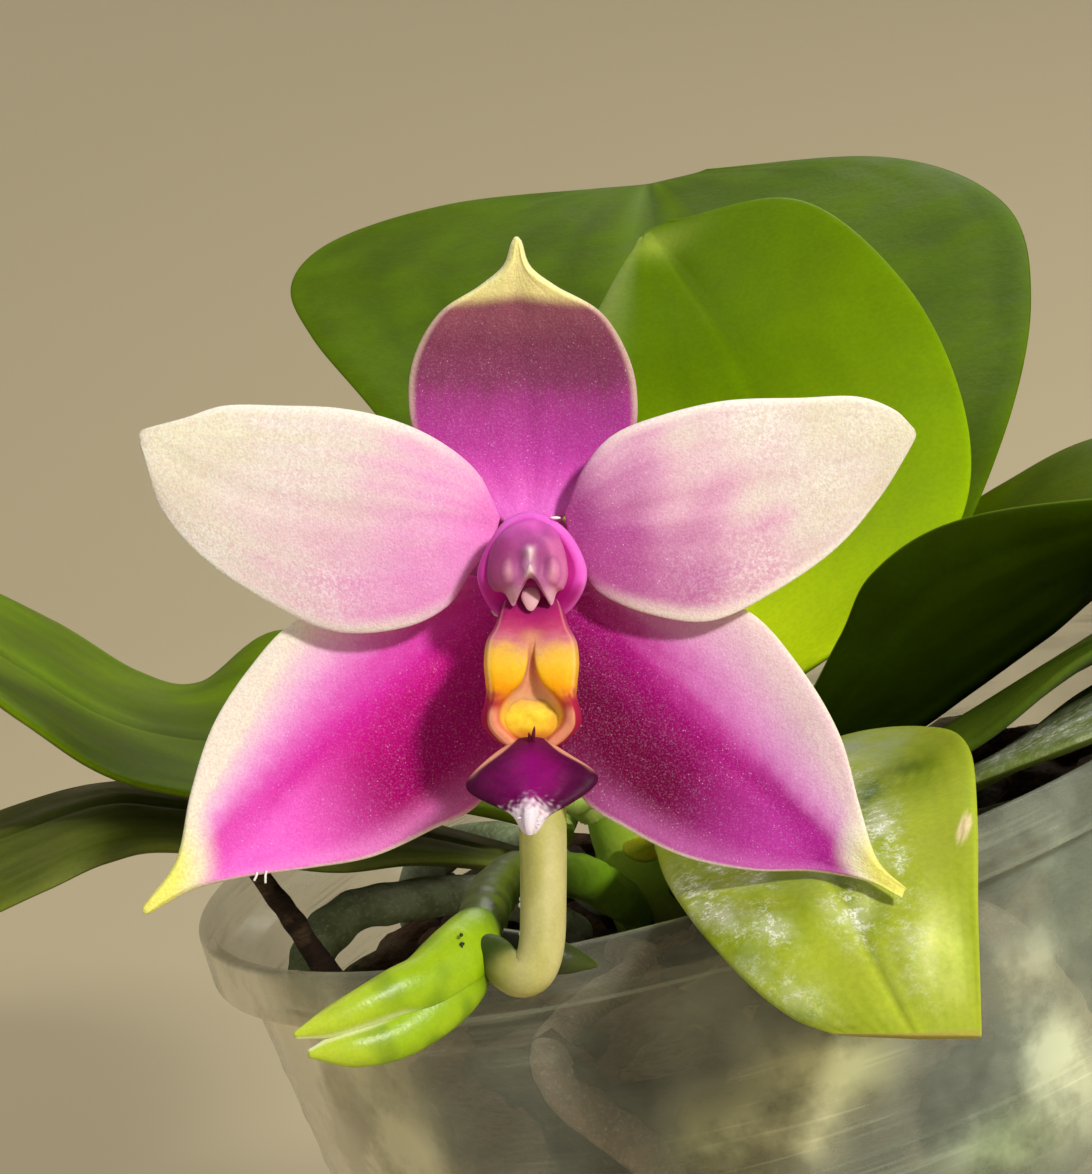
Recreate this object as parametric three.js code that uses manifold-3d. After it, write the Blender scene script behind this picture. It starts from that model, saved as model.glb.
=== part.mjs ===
// A potted Phalaenopsis violacea in flower: a clear pot of bark, a short leafy stem with its roots,
// and a flattened spike that holds one flower out over the rim.
// Units are millimetres, +Z is up, and the origin is the middle of the pot's underside.

import * as THREE from 'three';
import { mergeVertices } from 'three/addons/utils/BufferGeometryUtils.js';
import Module from 'manifold-3d';

// Driving sizes of the pot
const POT_HEIGHT = 82;
const LIP_RADIUS = 42;
const LIP_HEIGHT = 4.5;
const WALL_TOP_RADIUS = 39.7;
const BASE_RADIUS = 31.8;
const WALL = 1.1;
const POT_SIDES = 40;
const RING_HEIGHTS = [70, 66, 62];
const RING_RELIEF = 0.45;
const DRAIN_COUNT = 8;
const DRAIN_RADIUS = 3.2;
const DRAIN_CIRCLE = 21;

// The bark bed, the stem and the clearances between pieces
const SEAT_GAP = 0.35;
const CLASP_GAP = 0.5;
const BED_TOP = 70.5;
const BED_SIDES = 20;
const WALL_CHIPS = 14;
const SURFACE_CHIPS = 13;
const STEM_X = -7;
const STEM_Y = -2;
const STEM_RADIUS = 4.2;
const STEM_FOOT = 56;
const STEM_TOP = 86;

// Blades and tubes
const LEAF_THICKNESS = 1.3;
const TEPAL_THICKNESS = 0.85;
const LEAF_ROWS = 12;
const LEAF_COLUMNS = 6;
const TEPAL_ROWS = 12;
const TEPAL_COLUMNS = 6;
const ROOT_RADIUS = 1.7;
const ROOT_SIDES = 6;
const ROOT_CLEARANCE = ROOT_RADIUS + 1.25;
const PEDICEL_RADIUS = 1.65;
const STALK_RADIUS = 1.7;

// The flower's own frame: x to its right, y up its face, z out of its face
const FLOWER_CENTRE = [-9.2, -44.6, 106.4];
const FLOWER_NOD = 9.5;
const FLOWER_TWIST = 17;

const radians = THREE.MathUtils.degToRad;
const wasm = await Module();
wasm.setup();

let seed = 7;
function random(low = 0, high = 1) {
  seed = (seed + 0x6d2b79f5) | 0;
  let mixed = Math.imul(seed ^ (seed >>> 15), 1 | seed);
  mixed = (mixed + Math.imul(mixed ^ (mixed >>> 7), 61 | mixed)) ^ mixed;
  const unit = ((mixed ^ (mixed >>> 14)) >>> 0) / 4294967296;
  return low + unit * (high - low);
}

const point = ([x, y, z = 0]) => new THREE.Vector3(x, y, z);
const route = (list) => new THREE.CatmullRomCurve3(list.map(point), false, 'catmullrom', 0.5);

function geometryOf(vertices, triangles) {
  const geometry = new THREE.BufferGeometry();
  const numbers = vertices.flatMap((v) => [v.x, v.y, v.z]);
  geometry.setAttribute('position', new THREE.Float32BufferAttribute(numbers, 3));
  geometry.setIndex(triangles.flat());
  return geometry;
}

// Joins and cuts
function toSolid(geometry) {
  const bare = geometry.clone();
  bare.deleteAttribute('normal');
  bare.deleteAttribute('uv');
  const merged = mergeVertices(bare, 1e-4);
  return new wasm.Manifold(new wasm.Mesh({
    numProp: 3,
    vertProperties: new Float32Array(merged.attributes.position.array),
    triVerts: new Uint32Array(merged.index.array),
  }));
}

function fromSolid(solid) {
  const mesh = solid.getMesh();
  const geometry = new THREE.BufferGeometry();
  geometry.setAttribute('position', new THREE.BufferAttribute(mesh.vertProperties, 3));
  geometry.setIndex(new THREE.BufferAttribute(mesh.triVerts, 1));
  return geometry;
}

function fuse(geometries) {
  return geometries.map(toSolid).reduce((whole, piece) => whole.add(piece));
}

function largest(solid) {
  return solid.decompose().sort((a, b) => b.volume() - a.volume())[0];
}

// A closed skin over rings of points, with a flat fan at each end
function loft(rings) {
  const count = rings[0].length;
  const vertices = rings.flat();
  const triangles = [];
  for (let r = 0; r < rings.length - 1; r++) {
    for (let i = 0; i < count; i++) {
      const a = r * count + i;
      const b = r * count + ((i + 1) % count);
      triangles.push([a, b, b + count], [a, b + count, a + count]);
    }
  }
  for (const [ring, turned] of [[0, true], [rings.length - 1, false]]) {
    const middle = new THREE.Vector3();
    rings[ring].forEach((v) => middle.add(v));
    vertices.push(middle.divideScalar(count));
    for (let i = 0; i < count; i++) {
      const a = ring * count + i;
      const b = ring * count + ((i + 1) % count);
      triangles.push(turned ? [b, a, vertices.length - 1] : [a, b, vertices.length - 1]);
    }
  }
  return geometryOf(vertices, triangles);
}

// A tube along a route that tapers by `taper`; with a `face` it is flattened, `slim` thick toward that side
function tube(points, wide, { slim = wide, sides = 8, steps = 12, taper = () => 1, face } = {}) {
  const curve = route(points);
  const frames = curve.computeFrenetFrames(steps, false);
  const rings = [];
  for (let i = 0; i <= steps; i++) {
    const at = curve.getPointAt(i / steps);
    const along = frames.tangents[i];
    const across = face ? point(face).cross(along).normalize() : frames.normals[i];
    const through = new THREE.Vector3().crossVectors(along, across);
    const size = taper(i / steps);
    rings.push(Array.from({ length: sides }, (_, k) => {
      const turn = (2 * Math.PI * k) / sides;
      return at.clone()
        .addScaledVector(across, wide * size * Math.cos(turn))
        .addScaledVector(through, slim * size * Math.sin(turn));
    }));
  }
  return loft(rings);
}

// A thin blade through three routes, left margin, midrib and right margin, split alike on both faces
function blade({ left, spine, right }, { rows, columns, thickness, fold = 0.3 }) {
  const [a, m, b] = [left, spine, right].map(route);
  const middle = (s, t) => {
    const [pa, pm, pb] = [a, m, b].map((curve) => curve.getPoint(s));
    const bowed = pa.clone().multiplyScalar((t * (t - 1)) / 2)
      .addScaledVector(pm, 1 - t * t)
      .addScaledVector(pb, (t * (t + 1)) / 2);
    const straight = pm.clone().lerp(t < 0 ? pa : pb, Math.abs(t));
    return bowed.lerp(straight, fold);
  };
  const faces = [[], []];
  const step = 0.01;
  for (let r = 0; r <= rows; r++) {
    for (let c = 0; c <= columns; c++) {
      const s = r / rows;
      const t = (2 * c) / columns - 1;
      const along = middle(Math.min(1, s + step), t).sub(middle(Math.max(0, s - step), t));
      const across = middle(s, Math.min(1, t + step)).sub(middle(s, Math.max(-1, t - step)));
      const normal = across.cross(along).normalize();
      const half = (thickness / 2) * (1 - 0.28 * t * t);
      faces[0].push(middle(s, t).addScaledVector(normal, half));
      faces[1].push(middle(s, t).addScaledVector(normal, -half));
    }
  }
  const size = faces[0].length;
  const triangles = [];
  const both = (i, j, k) => triangles.push([i, j, k], [i + size, k + size, j + size]);
  const side = (i, j) => triangles.push([i, j + size, j], [i, i + size, j + size]);
  const at = (r, c) => r * (columns + 1) + c;
  for (let r = 0; r < rows; r++) {
    for (let c = 0; c < columns; c++) {
      both(at(r, c), at(r, c + 1), at(r + 1, c + 1));
      both(at(r, c), at(r + 1, c + 1), at(r + 1, c));
    }
    side(at(r + 1, 0), at(r, 0));
    side(at(r, columns), at(r + 1, columns));
  }
  for (let c = 0; c < columns; c++) {
    side(at(0, c), at(0, c + 1));
    side(at(rows, c + 1), at(rows, c));
  }
  return geometryOf(faces.flat(), triangles);
}

const matte = (color, roughness = 0.6) => new THREE.MeshStandardMaterial({ color, roughness, metalness: 0 });
const clearPlastic = new THREE.MeshStandardMaterial({
  color: '#cfd6cf', roughness: 0.18, metalness: 0, transparent: true, opacity: 0.3,
});
const LEAF_GREEN = matte('#4c7a1c', 0.38);
const SHADED_LEAF = matte('#33561b', 0.38);
const BRIGHT_LEAF = matte('#86a81f', 0.38);
const YOUNG_GREEN = matte('#7fae24', 0.4);
const ROOT_GREY = matte('#8f9a7c', 0.75);
const WALL_ROOT = matte('#c4b29a', 0.75);
const BARK = matte('#5b4230', 0.95);
const DEAD_BROWN = matte('#4a3222', 0.85);
const SPIKE_GREEN = matte('#8cb82c', 0.4);
const PALE_GREEN = matte('#d9dcae', 0.45);
const SEPAL_MAGENTA = matte('#b3459c', 0.5);
const DORSAL_MAGENTA = matte('#9c4f93', 0.5);
const PETAL_PINK = matte('#dcb3cd', 0.5);
const COLUMN_MAGENTA = matte('#c657b4', 0.45);
const CAP_MAUVE = matte('#b26aa5', 0.45);
const LIP_YELLOW = matte('#efa62c', 0.4);

const plant = new THREE.Group();
const flower = new THREE.Group();
flower.position.set(...FLOWER_CENTRE);
flower.rotation.set(radians(90 - FLOWER_NOD), 0, radians(-FLOWER_TWIST));
plant.add(flower);

function place(group, name, geometry, material) {
  const mesh = new THREE.Mesh(geometry, material);
  mesh.name = name;
  group.add(mesh);
}

// The pot
const wallTop = POT_HEIGHT - LIP_HEIGHT;
const wallSlope = (WALL_TOP_RADIUS - BASE_RADIUS) / wallTop;
const outerRadius = (z) => BASE_RADIUS + wallSlope * z;
const innerRadius = (z) => outerRadius(z) - WALL;

function latheSolid(profile, sides) {
  return toSolid(new THREE.LatheGeometry(profile.map(([x, y]) => new THREE.Vector2(x, y)), sides)
    .rotateX(Math.PI / 2));
}

function makePot() {
  const rings = [...RING_HEIGHTS].reverse().flatMap((z) => [
    [outerRadius(z - 0.7), z - 0.7],
    [outerRadius(z) + RING_RELIEF, z],
    [outerRadius(z + 0.7), z + 0.7],
  ]);
  const profile = [
    [0, 0],
    [BASE_RADIUS, 0],
    ...rings,
    [WALL_TOP_RADIUS, wallTop],
    [LIP_RADIUS, wallTop + 0.3],
    [LIP_RADIUS, POT_HEIGHT],
    [LIP_RADIUS - WALL, POT_HEIGHT],
    [LIP_RADIUS - WALL, wallTop + WALL],
    [innerRadius(wallTop), wallTop],
    [innerRadius(WALL), WALL],
    [0, WALL],
  ];
  let solid = latheSolid(profile, POT_SIDES);
  for (let i = 0; i < DRAIN_COUNT; i++) {
    const turn = (2 * Math.PI * i) / DRAIN_COUNT;
    const hole = new THREE.CylinderGeometry(DRAIN_RADIUS, DRAIN_RADIUS, 4 * WALL, 12)
      .rotateX(Math.PI / 2)
      .translate(DRAIN_CIRCLE * Math.cos(turn), DRAIN_CIRCLE * Math.sin(turn), 0);
    solid = solid.subtract(toSolid(hole));
  }
  return fromSolid(solid);
}
place(plant, 'pot', makePot(), clearPlastic);

// The roots: each leaves the stem, crosses the bark, and some run down inside the clear wall
function wallRoute({ turn, drop, sweep, start, lift }) {
  const list = [];
  const leave = radians(start);
  list.push([STEM_X + 5.8 * Math.cos(leave), STEM_Y + 5.8 * Math.sin(leave), BED_TOP + 1]);
  const edge = innerRadius(BED_TOP) - ROOT_CLEARANCE;
  const first = radians(turn);
  const middle = [edge * 0.55 * Math.cos(first), edge * 0.55 * Math.sin(first)];
  list.push([(list[0][0] + middle[0]) / 2, (list[0][1] + middle[1]) / 2, BED_TOP + lift]);
  list.push([...middle, BED_TOP + lift]);
  for (let i = 0; i <= 4; i++) {
    const z = BED_TOP + 1 - (drop * i) / 4;
    const angle = radians(turn + (sweep * i) / 4 + 7 * Math.sin(i * 2.1));
    const radius = innerRadius(z) - ROOT_CLEARANCE;
    list.push([radius * Math.cos(angle), radius * Math.sin(angle), z]);
  }
  return list;
}
const WALL_ROOTS = {
  root_wall_front_left: { turn: 240, start: 224, drop: 50, sweep: 22, lift: 1.9 },
  root_wall_front: { turn: 296, start: 290, drop: 58, sweep: 14, lift: 1.8 },
  root_wall_right: { turn: 342, start: 340, drop: 46, sweep: 26, lift: 1.8 },
  root_wall_back_right: { turn: 48, start: 35, drop: 52, sweep: -16, lift: 2 },
  root_wall_back_left: { turn: 100, start: 85, drop: 48, sweep: 26, lift: 2 },
};
const AERIAL_ROOTS = {
  root_aerial_left: [
    [-12.8, -3.4, 72.4], [-15.8, -7, 76.2], [-19.4, -10, 79.7], [-24.6, -11.6, 81.4], [-29.3, -12.6, 82],
    [-32.6, -13.8, 80.2], [-33.8, -13.6, 76], [-32.6, -12, 69], [-31, -11, 64],
  ],
  root_aerial_back: [
    [-10.6, 3, 72.4], [-15, 11, 76.5], [-21, 18, 77.5], [-26, 21, 74.5], [-26.6, 21, 69], [-25, 19.5, 63],
  ],
};
const rootTaper = (s) => 0.72 + 0.28 * Math.sin(Math.PI * Math.min(1, 0.25 + 0.75 * (1 - s)));
const rootTube = (list, spare = 0) => tube(list, ROOT_RADIUS + spare, {
  sides: ROOT_SIDES, steps: 13, taper: rootTaper,
});
const rootRoutes = {};
for (const [name, facts] of Object.entries(WALL_ROOTS)) {
  rootRoutes[name] = wallRoute(facts);
  place(plant, name, rootTube(rootRoutes[name]), WALL_ROOT);
}
for (const [name, list] of Object.entries(AERIAL_ROOTS)) {
  rootRoutes[name] = list;
  place(plant, name, rootTube(list), ROOT_GREY);
}

// The dead stub of an older spike, standing in the bark at the left
const STUB_ROUTE = [[-28.6, -18.6, 64], [-29.8, -18.4, 74], [-32.2, -17.6, 81], [-34.6, -16, 88]];
const STUB_RADIUS = 1.1;
place(plant, 'old_spike_stub', tube(STUB_ROUTE, STUB_RADIUS, {
  sides: 6, steps: 6, taper: (s) => 1 - 0.3 * s,
}), DEAD_BROWN);

// The stem, with the rings of its leaf scars
function makeStem() {
  const scars = [0, 0.25, 0, 0.3, 0, 0.25, 0, 0.3, 0, -0.2];
  const profile = [[0, STEM_FOOT], [STEM_RADIUS - 1.6, STEM_FOOT]];
  scars.forEach((relief, i) => {
    const s = i / (scars.length - 1);
    profile.push([STEM_RADIUS - 1 + s * 0.8 + relief, STEM_FOOT + 2 + s * (STEM_TOP - STEM_FOOT - 4)]);
  });
  profile.push([STEM_RADIUS - 1.6, STEM_TOP - 0.7], [0, STEM_TOP]);
  return fromSolid(latheSolid(profile, 14).translate([STEM_X, STEM_Y, 0]));
}
place(plant, 'stem', makeStem(), YOUNG_GREEN);

// What a piece leaves in its neighbour: the piece with its clearance, and room past its ends
function groove(geometry, radius, ends) {
  const past = ends.map((end) => new THREE.SphereGeometry(radius + SEAT_GAP, 6, 4).translate(...end));
  return fuse([geometry, ...past]);
}

// The bark: a bed with chips standing out of its top and sides, cut to the pot and to what runs through it
function makeBed() {
  const inside = (z) => innerRadius(z) - SEAT_GAP;
  const floor = WALL + SEAT_GAP;
  const core = latheSolid([
    [0, floor], [inside(floor) - 2.4, floor], [inside(BED_TOP) - 2.6, BED_TOP - 1.5],
    [inside(BED_TOP) * 0.6, BED_TOP], [0, BED_TOP + 0.5],
  ], BED_SIDES);
  const envelope = latheSolid([
    [0, floor], [inside(floor), floor], [inside(BED_TOP + 6), BED_TOP + 6], [0, BED_TOP + 6],
  ], BED_SIDES);
  let bed = core;
  const chip = (x, y, z, length) => {
    const geometry = new THREE.BoxGeometry(length, length * random(0.55, 0.8), length * random(0.35, 0.5))
      .rotateX(random(-0.6, 0.6)).rotateY(random(-0.6, 0.6)).rotateZ(random(0, Math.PI))
      .translate(x, y, z);
    bed = bed.add(toSolid(geometry));
  };
  for (let i = 0; i < SURFACE_CHIPS; i++) {
    const turn = i * 2.4;
    const radius = inside(BED_TOP) * Math.sqrt((i + 0.6) / SURFACE_CHIPS);
    chip(radius * Math.cos(turn), radius * Math.sin(turn), BED_TOP + random(-0.8, 0.6), random(9, 13));
  }
  for (let i = 0; i < WALL_CHIPS; i++) {
    const z = 7 + (56 * (i + 0.5)) / WALL_CHIPS;
    const turn = i * 2.4;
    const radius = inside(z) - 3;
    chip(radius * Math.cos(turn), radius * Math.sin(turn), z, random(13, 18));
  }
  bed = bed.intersect(envelope);
  for (const list of Object.values(rootRoutes)) {
    bed = bed.subtract(groove(rootTube(list, SEAT_GAP), ROOT_RADIUS, [list[0], list.at(-1)]));
  }
  const stemHole = new THREE.CylinderGeometry(STEM_RADIUS + SEAT_GAP, STEM_RADIUS + SEAT_GAP, 40, 14)
    .rotateX(Math.PI / 2)
    .translate(STEM_X, STEM_Y, STEM_FOOT - SEAT_GAP + 20);
  bed = bed.subtract(toSolid(stemHole));
  const stub = tube(STUB_ROUTE, STUB_RADIUS + SEAT_GAP, { sides: 6, steps: 6 });
  bed = bed.subtract(groove(stub, STUB_RADIUS, [STUB_ROUTE[0]]));
  return fromSolid(largest(bed));
}
place(plant, 'growing_medium', makeBed(), BARK);

// Each leaf clasps the stem at `turn` and `height`; its margins and midrib are routes from there to the tip
function leafRoutes({ turn, height, clasp = 27, left, spine, right }) {
  const foot = (angle, rise) => [
    STEM_X + (STEM_RADIUS + CLASP_GAP) * Math.cos(radians(angle)),
    STEM_Y + (STEM_RADIUS + CLASP_GAP) * Math.sin(radians(angle)),
    height + rise,
  ];
  return {
    left: [foot(turn + clasp, 0.8), ...left],
    spine: [foot(turn, 0), ...spine],
    right: [foot(turn - clasp, 0.8), ...right],
  };
}

const LEAVES = {
  leaf_back: {
    turn: 92, height: 78, material: SHADED_LEAF, fold: 0.35,
    left: [
      [-12.5, 22, 94], [-17.5, 53, 108], [-23, 76.5, 117.5], [-24, 91, 122.5],
      [-18.5, 100, 125], [-6, 101, 125], [9, 98, 122.3],
    ],
    spine: [
      [-1, 23, 90.5], [5, 41, 99.5], [9, 57.5, 107], [11, 68.5, 112],
      [12.5, 77.5, 115.5], [14, 88, 118.5], [15, 97.5, 121],
    ],
    right: [
      [8, 9, 84.8], [22, 12.5, 88], [33, 25.5, 95.5], [42, 45.5, 104],
      [45, 64, 111.5], [38, 81.5, 117.5], [21, 95, 121],
    ],
  },
  leaf_bright: {
    turn: 68, height: 83, material: BRIGHT_LEAF, fold: 0.4,
    left: [
      [-9.5, 8, 90.5], [-10, 17, 97.5], [-7.5, 25.5, 104.5], [-2.5, 32.5, 110.5],
      [2.5, 37, 114.5], [6, 41, 117.5], [9.3, 44, 120],
    ],
    spine: [
      [1, 7, 86], [8, 12, 91.5], [13, 17.5, 97.5], [14.5, 23.5, 103.5],
      [13.5, 30.5, 110], [12, 38, 115], [10.4, 45.4, 120.3],
    ],
    right: [
      [6.5, -1.5, 86.5], [17.5, 1, 89.5], [26, 7.5, 94], [29.5, 16, 101.5],
      [29, 27.5, 111], [23.5, 38.5, 119.5], [12.4, 44.2, 120.7],
    ],
  },
  leaf_right_upper: {
    turn: 4, height: 79.8, material: SHADED_LEAF, fold: 0.45,
    left: [
      [6.7, 5, 79.6], [16, 12.5, 83], [25, 21.5, 90], [32.5, 24, 92.5], [42.5, 22, 94],
      [57, 13, 91], [67, -4.5, 82.5],
    ],
    spine: [
      [6, -3.5, 79.6], [15, -4.5, 81.5], [21, -5, 83.6], [27.5, -5.5, 86], [36, -6, 89],
      [52, -7, 88.5], [68, -6.6, 81.6],
    ],
    right: [
      [6, -11.5, 85.5], [11.5, -16.5, 92], [15, -19, 96.5], [21.5, -19.5, 98.5], [32, -19, 97],
      [49, -16.5, 92.3], [66, -8.5, 82.2],
    ],
  },
  leaf_right_middle: {
    turn: -26, height: 77, clasp: 20, material: LEAF_GREEN, fold: 0.3,
    left: [[9.5, -4, 76.2], [21, -3, 78.6], [33, -1, 83], [46, -3, 86], [60, -13, 82]],
    spine: [[8.5, -11, 79], [19.5, -15, 83], [30, -17, 86], [43, -18, 87.4], [61, -16.6, 81.8]],
    right: [[7.5, -14, 79], [18, -22.6, 82.6], [28, -27.5, 88], [41, -28.5, 88.6], [60.5, -20, 82.4]],
  },
  leaf_right_lower: {
    turn: -56, height: 74.4, clasp: 18, material: LEAF_GREEN, fold: 0.3,
    left: [[10.5, -10.8, 76.4], [21.5, -12, 78.8], [29, -13.5, 82], [42, -16.5, 84.8], [54, -23, 82]],
    spine: [[9.5, -18.4, 78.3], [18.5, -22.2, 80.7], [26.5, -25, 82.9], [38, -26.5, 85], [55, -26.4, 81.6]],
    right: [[8.5, -24.2, 80.2], [17.5, -30, 82.2], [24.8, -34.2, 83.9], [36, -35, 84.9], [54, -29.6, 81.8]],
  },
  leaf_left_upper: {
    turn: 172, height: 80.2, material: LEAF_GREEN, fold: 0.3,
    left: [
      [-19.5, -12, 87.5], [-30, -17.5, 92], [-38, -21, 96.5], [-42.5, -22.5, 100],
      [-46.5, -22.5, 105], [-53, -19, 112.5], [-63.4, -7.6, 118],
    ],
    spine: [
      [-19.5, -1, 87], [-30, -2, 93], [-39, -3.5, 97], [-44, -4, 100.5],
      [-48.5, -4, 105.5], [-55, -4, 112.5], [-64.6, -3.6, 118.2],
    ],
    right: [
      [-18, 15.5, 90.5], [-30, 23, 98.5], [-38.5, 24.5, 96], [-43.5, 25, 98.5],
      [-49, 24, 105], [-56, 16, 113], [-63.8, 1, 118.2],
    ],
  },
  leaf_left_lower: {
    turn: 200, height: 76.6, clasp: 16, material: LEAF_GREEN, fold: 0.5,
    left: [
      [-22.3, -13.8, 84.3], [-29.3, -19.3, 87.2], [-39, -23.5, 93], [-43.5, -25.5, 94],
      [-48.5, -26.5, 93.5], [-57, -25, 92.4], [-67.2, -15.4, 92],
    ],
    spine: [
      [-22, -5.5, 83.5], [-29, -8, 87.5], [-40, -10.5, 93], [-44, -12, 95],
      [-49, -14, 95.5], [-58, -14, 94.8], [-68.4, -12.6, 92.2],
    ],
    right: [
      [-22, 5, 82.4], [-29.5, 8, 86.5], [-40.5, 6.5, 91.5], [-45.5, 5, 93.5],
      [-50.5, 2, 94.5], [-60, -4, 94.6], [-67.8, -10, 92.4],
    ],
  },
  leaf_front_trimmed: {
    turn: -84, height: 78.6, clasp: 20, material: YOUNG_GREEN, fold: 0.35,
    left: [
      [0, -12, 82.5], [10.5, -16, 84.5], [16, -21, 84.6], [17, -31, 85],
      [15, -43.2, 83.5], [12.5, -51.5, 79.7], [10, -56.5, 73.2],
    ],
    spine: [
      [-2.5, -13.5, 81.8], [2, -22, 84], [3.5, -35, 84.1], [4.5, -46.5, 83.2],
      [5, -51.5, 80.2], [5.5, -54.8, 77.2], [6, -56.6, 74.5],
    ],
    right: [
      [-6, -14.5, 81], [-6, -25.5, 83], [-6, -38, 83.8], [-5, -48.5, 83],
      [-3, -52.6, 79.7], [-1, -54.8, 77.4], [1, -55.7, 76],
    ],
  },
  leaf_young: {
    turn: 236, height: 82.4, clasp: 26, material: YOUNG_GREEN, fold: 0.2, rows: 6, columns: 4,
    left: [[-7.6, -8.2, 84.6], [-9, -11, 84.4]],
    spine: [[-10.4, -7.8, 84.8], [-10.8, -11.2, 84.6]],
    right: [[-12.6, -6.6, 85], [-12, -10.6, 85]],
  },
};
for (const [name, leaf] of Object.entries(LEAVES)) {
  const { material, fold, rows = LEAF_ROWS, columns = LEAF_COLUMNS } = leaf;
  place(plant, name, blade(leafRoutes(leaf), { rows, columns, fold, thickness: LEAF_THICKNESS }), material);
}

// Sepals and petals, in the flower's frame; the margins stand `cup` in front of the spine
function tepal({ left, spine, right, cup }, fold = 0.15) {
  const last = spine.length - 1;
  const lifted = (list) => list.map(([x, y], i) => [
    x, y, spine[i][2] + cup * Math.sin(Math.PI * (i / last) ** 0.8),
  ]);
  return blade({ left: lifted(left), spine, right: lifted(right) }, {
    rows: TEPAL_ROWS, columns: TEPAL_COLUMNS, thickness: TEPAL_THICKNESS, fold,
  });
}

const SEPALS = {
  sepal_dorsal: {
    cup: 0.8,
    left: [
      [-1.4, 4.6], [-4.5, 7.6], [-7.4, 10.5], [-8, 13.5], [-7.5, 16.2],
      [-5.9, 18.7], [-3.4, 20.2], [-1.7, 21.5], [-1.1, 23.2],
    ],
    spine: [
      [0, 4.6, -1.7], [0, 7.6, -2.6], [-0.3, 10.5, -3.2], [-0.4, 13.5, -3.3], [-0.6, 16.3, -2.8],
      [-0.7, 18.6, -1.8], [-0.9, 20.1, -0.8], [-0.9, 21.5, 0.2], [-0.9, 23.4, 1.2],
    ],
    right: [
      [1.4, 4.6], [4.4, 7.6], [6.7, 10.5], [7, 13.5], [6.3, 16.2],
      [4.6, 18.7], [1.8, 20.2], [0, 21.5], [-0.6, 23.2],
    ],
  },
  sepal_left: {
    cup: 0.6,
    left: [
      [-0.8, -1.5], [-1.5, -7.5], [-3.4, -13.1], [-6.6, -15.2], [-10.4, -16.9],
      [-14.4, -17.6], [-18.4, -18.1], [-22, -18.9], [-24.9, -20.5],
    ],
    spine: [
      [-1.4, -0.2, -1.5], [-4.3, -2.6, -2.4], [-7.2, -5.9, -2.6], [-10.5, -8.9, -2.7], [-13.8, -11.5, -2.6],
      [-17.1, -13.9, -2.3], [-20, -16.1, -1.9], [-22.5, -18.2, -1.3], [-25.2, -20.4, -0.5],
    ],
    right: [
      [-1.8, 1.2], [-5.3, 1.6], [-10.5, 0.6], [-15.4, -1.4], [-18.4, -4.5],
      [-20.8, -8.3], [-22.2, -12.6], [-23.1, -17], [-25.2, -20],
    ],
  },
  sepal_right: {
    cup: 0.6,
    left: [
      [1.9, 1.2], [5.2, 1.3], [9.8, 0.3], [14.3, -0.8], [17.7, -4.5],
      [20.2, -8.9], [21.4, -13.4], [22.4, -16.8], [24.2, -18.6],
    ],
    spine: [
      [1.5, -0.2, -1.5], [4.3, -2.6, -2.4], [7.2, -5.9, -2.6], [10.5, -8.9, -2.7], [13.8, -11.5, -2.6],
      [16.9, -13.8, -1.5], [19.5, -15.8, -0.6], [21.8, -17.3, 1.1], [24, -18.8, 2.4],
    ],
    right: [
      [0.8, -1.5], [1.5, -7.5], [3.5, -12.9], [6.2, -15], [10.1, -16.9],
      [14.4, -17.7], [18.4, -17.7], [21.7, -18.2], [23.9, -19.2],
    ],
  },
};
const PETALS = {
  petal_left: {
    cup: -0.5,
    left: [
      [-2.6, 3.2], [-3.8, 1.8], [-5.4, -0.5], [-8.4, -1.9], [-12.7, -2.1],
      [-16.9, -0.3], [-21.2, 2.6], [-24.1, 6], [-25.3, 10.1],
    ],
    spine: [
      [-2.3, 4.4, 0], [-4.4, 4.9, 0.8], [-7.1, 5, 1], [-10.3, 5.3, 0.8], [-13.6, 5.7, 0.4],
      [-17.2, 6.4, 0], [-20.7, 7.7, -0.3], [-23.4, 9.3, -0.5], [-25.5, 10.7, -0.6],
    ],
    right: [
      [-2, 5.4], [-3.4, 8.2], [-5.8, 10.2], [-8.8, 11.6], [-12.3, 12.4],
      [-16.3, 12.6], [-19.9, 12.6], [-22.5, 11.8], [-25.1, 11.1],
    ],
  },
  petal_right: {
    cup: -0.5,
    left: [
      [2.3, 5.7], [3.4, 8.4], [5.3, 10.6], [8.4, 11.9], [12.7, 12.9],
      [17.6, 13.1], [21.2, 13.2], [23.6, 12.4], [24.9, 11.2],
    ],
    spine: [
      [2.5, 4.7, 0], [4.5, 5.2, 0.8], [7.1, 5.7, 1], [10.4, 6.3, 0.8], [13.9, 7, 0.4],
      [17.5, 7.8, 0], [20.8, 8.8, -0.3], [23.3, 9.8, -0.5], [25.1, 10.7, -0.6],
    ],
    right: [
      [2.7, 3.6], [3.4, 2.1], [4.5, 0.4], [7.8, -1], [11.8, -1.4],
      [15.9, 0.5], [19.9, 3.3], [22.8, 6.7], [24.9, 10.2],
    ],
  },
};
for (const [name, outline] of Object.entries(SEPALS)) {
  place(flower, name, tepal(outline), name === 'sepal_dorsal' ? DORSAL_MAGENTA : SEPAL_MAGENTA);
}
for (const [name, outline] of Object.entries(PETALS)) {
  place(flower, name, tepal(outline), PETAL_PINK);
}

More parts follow.
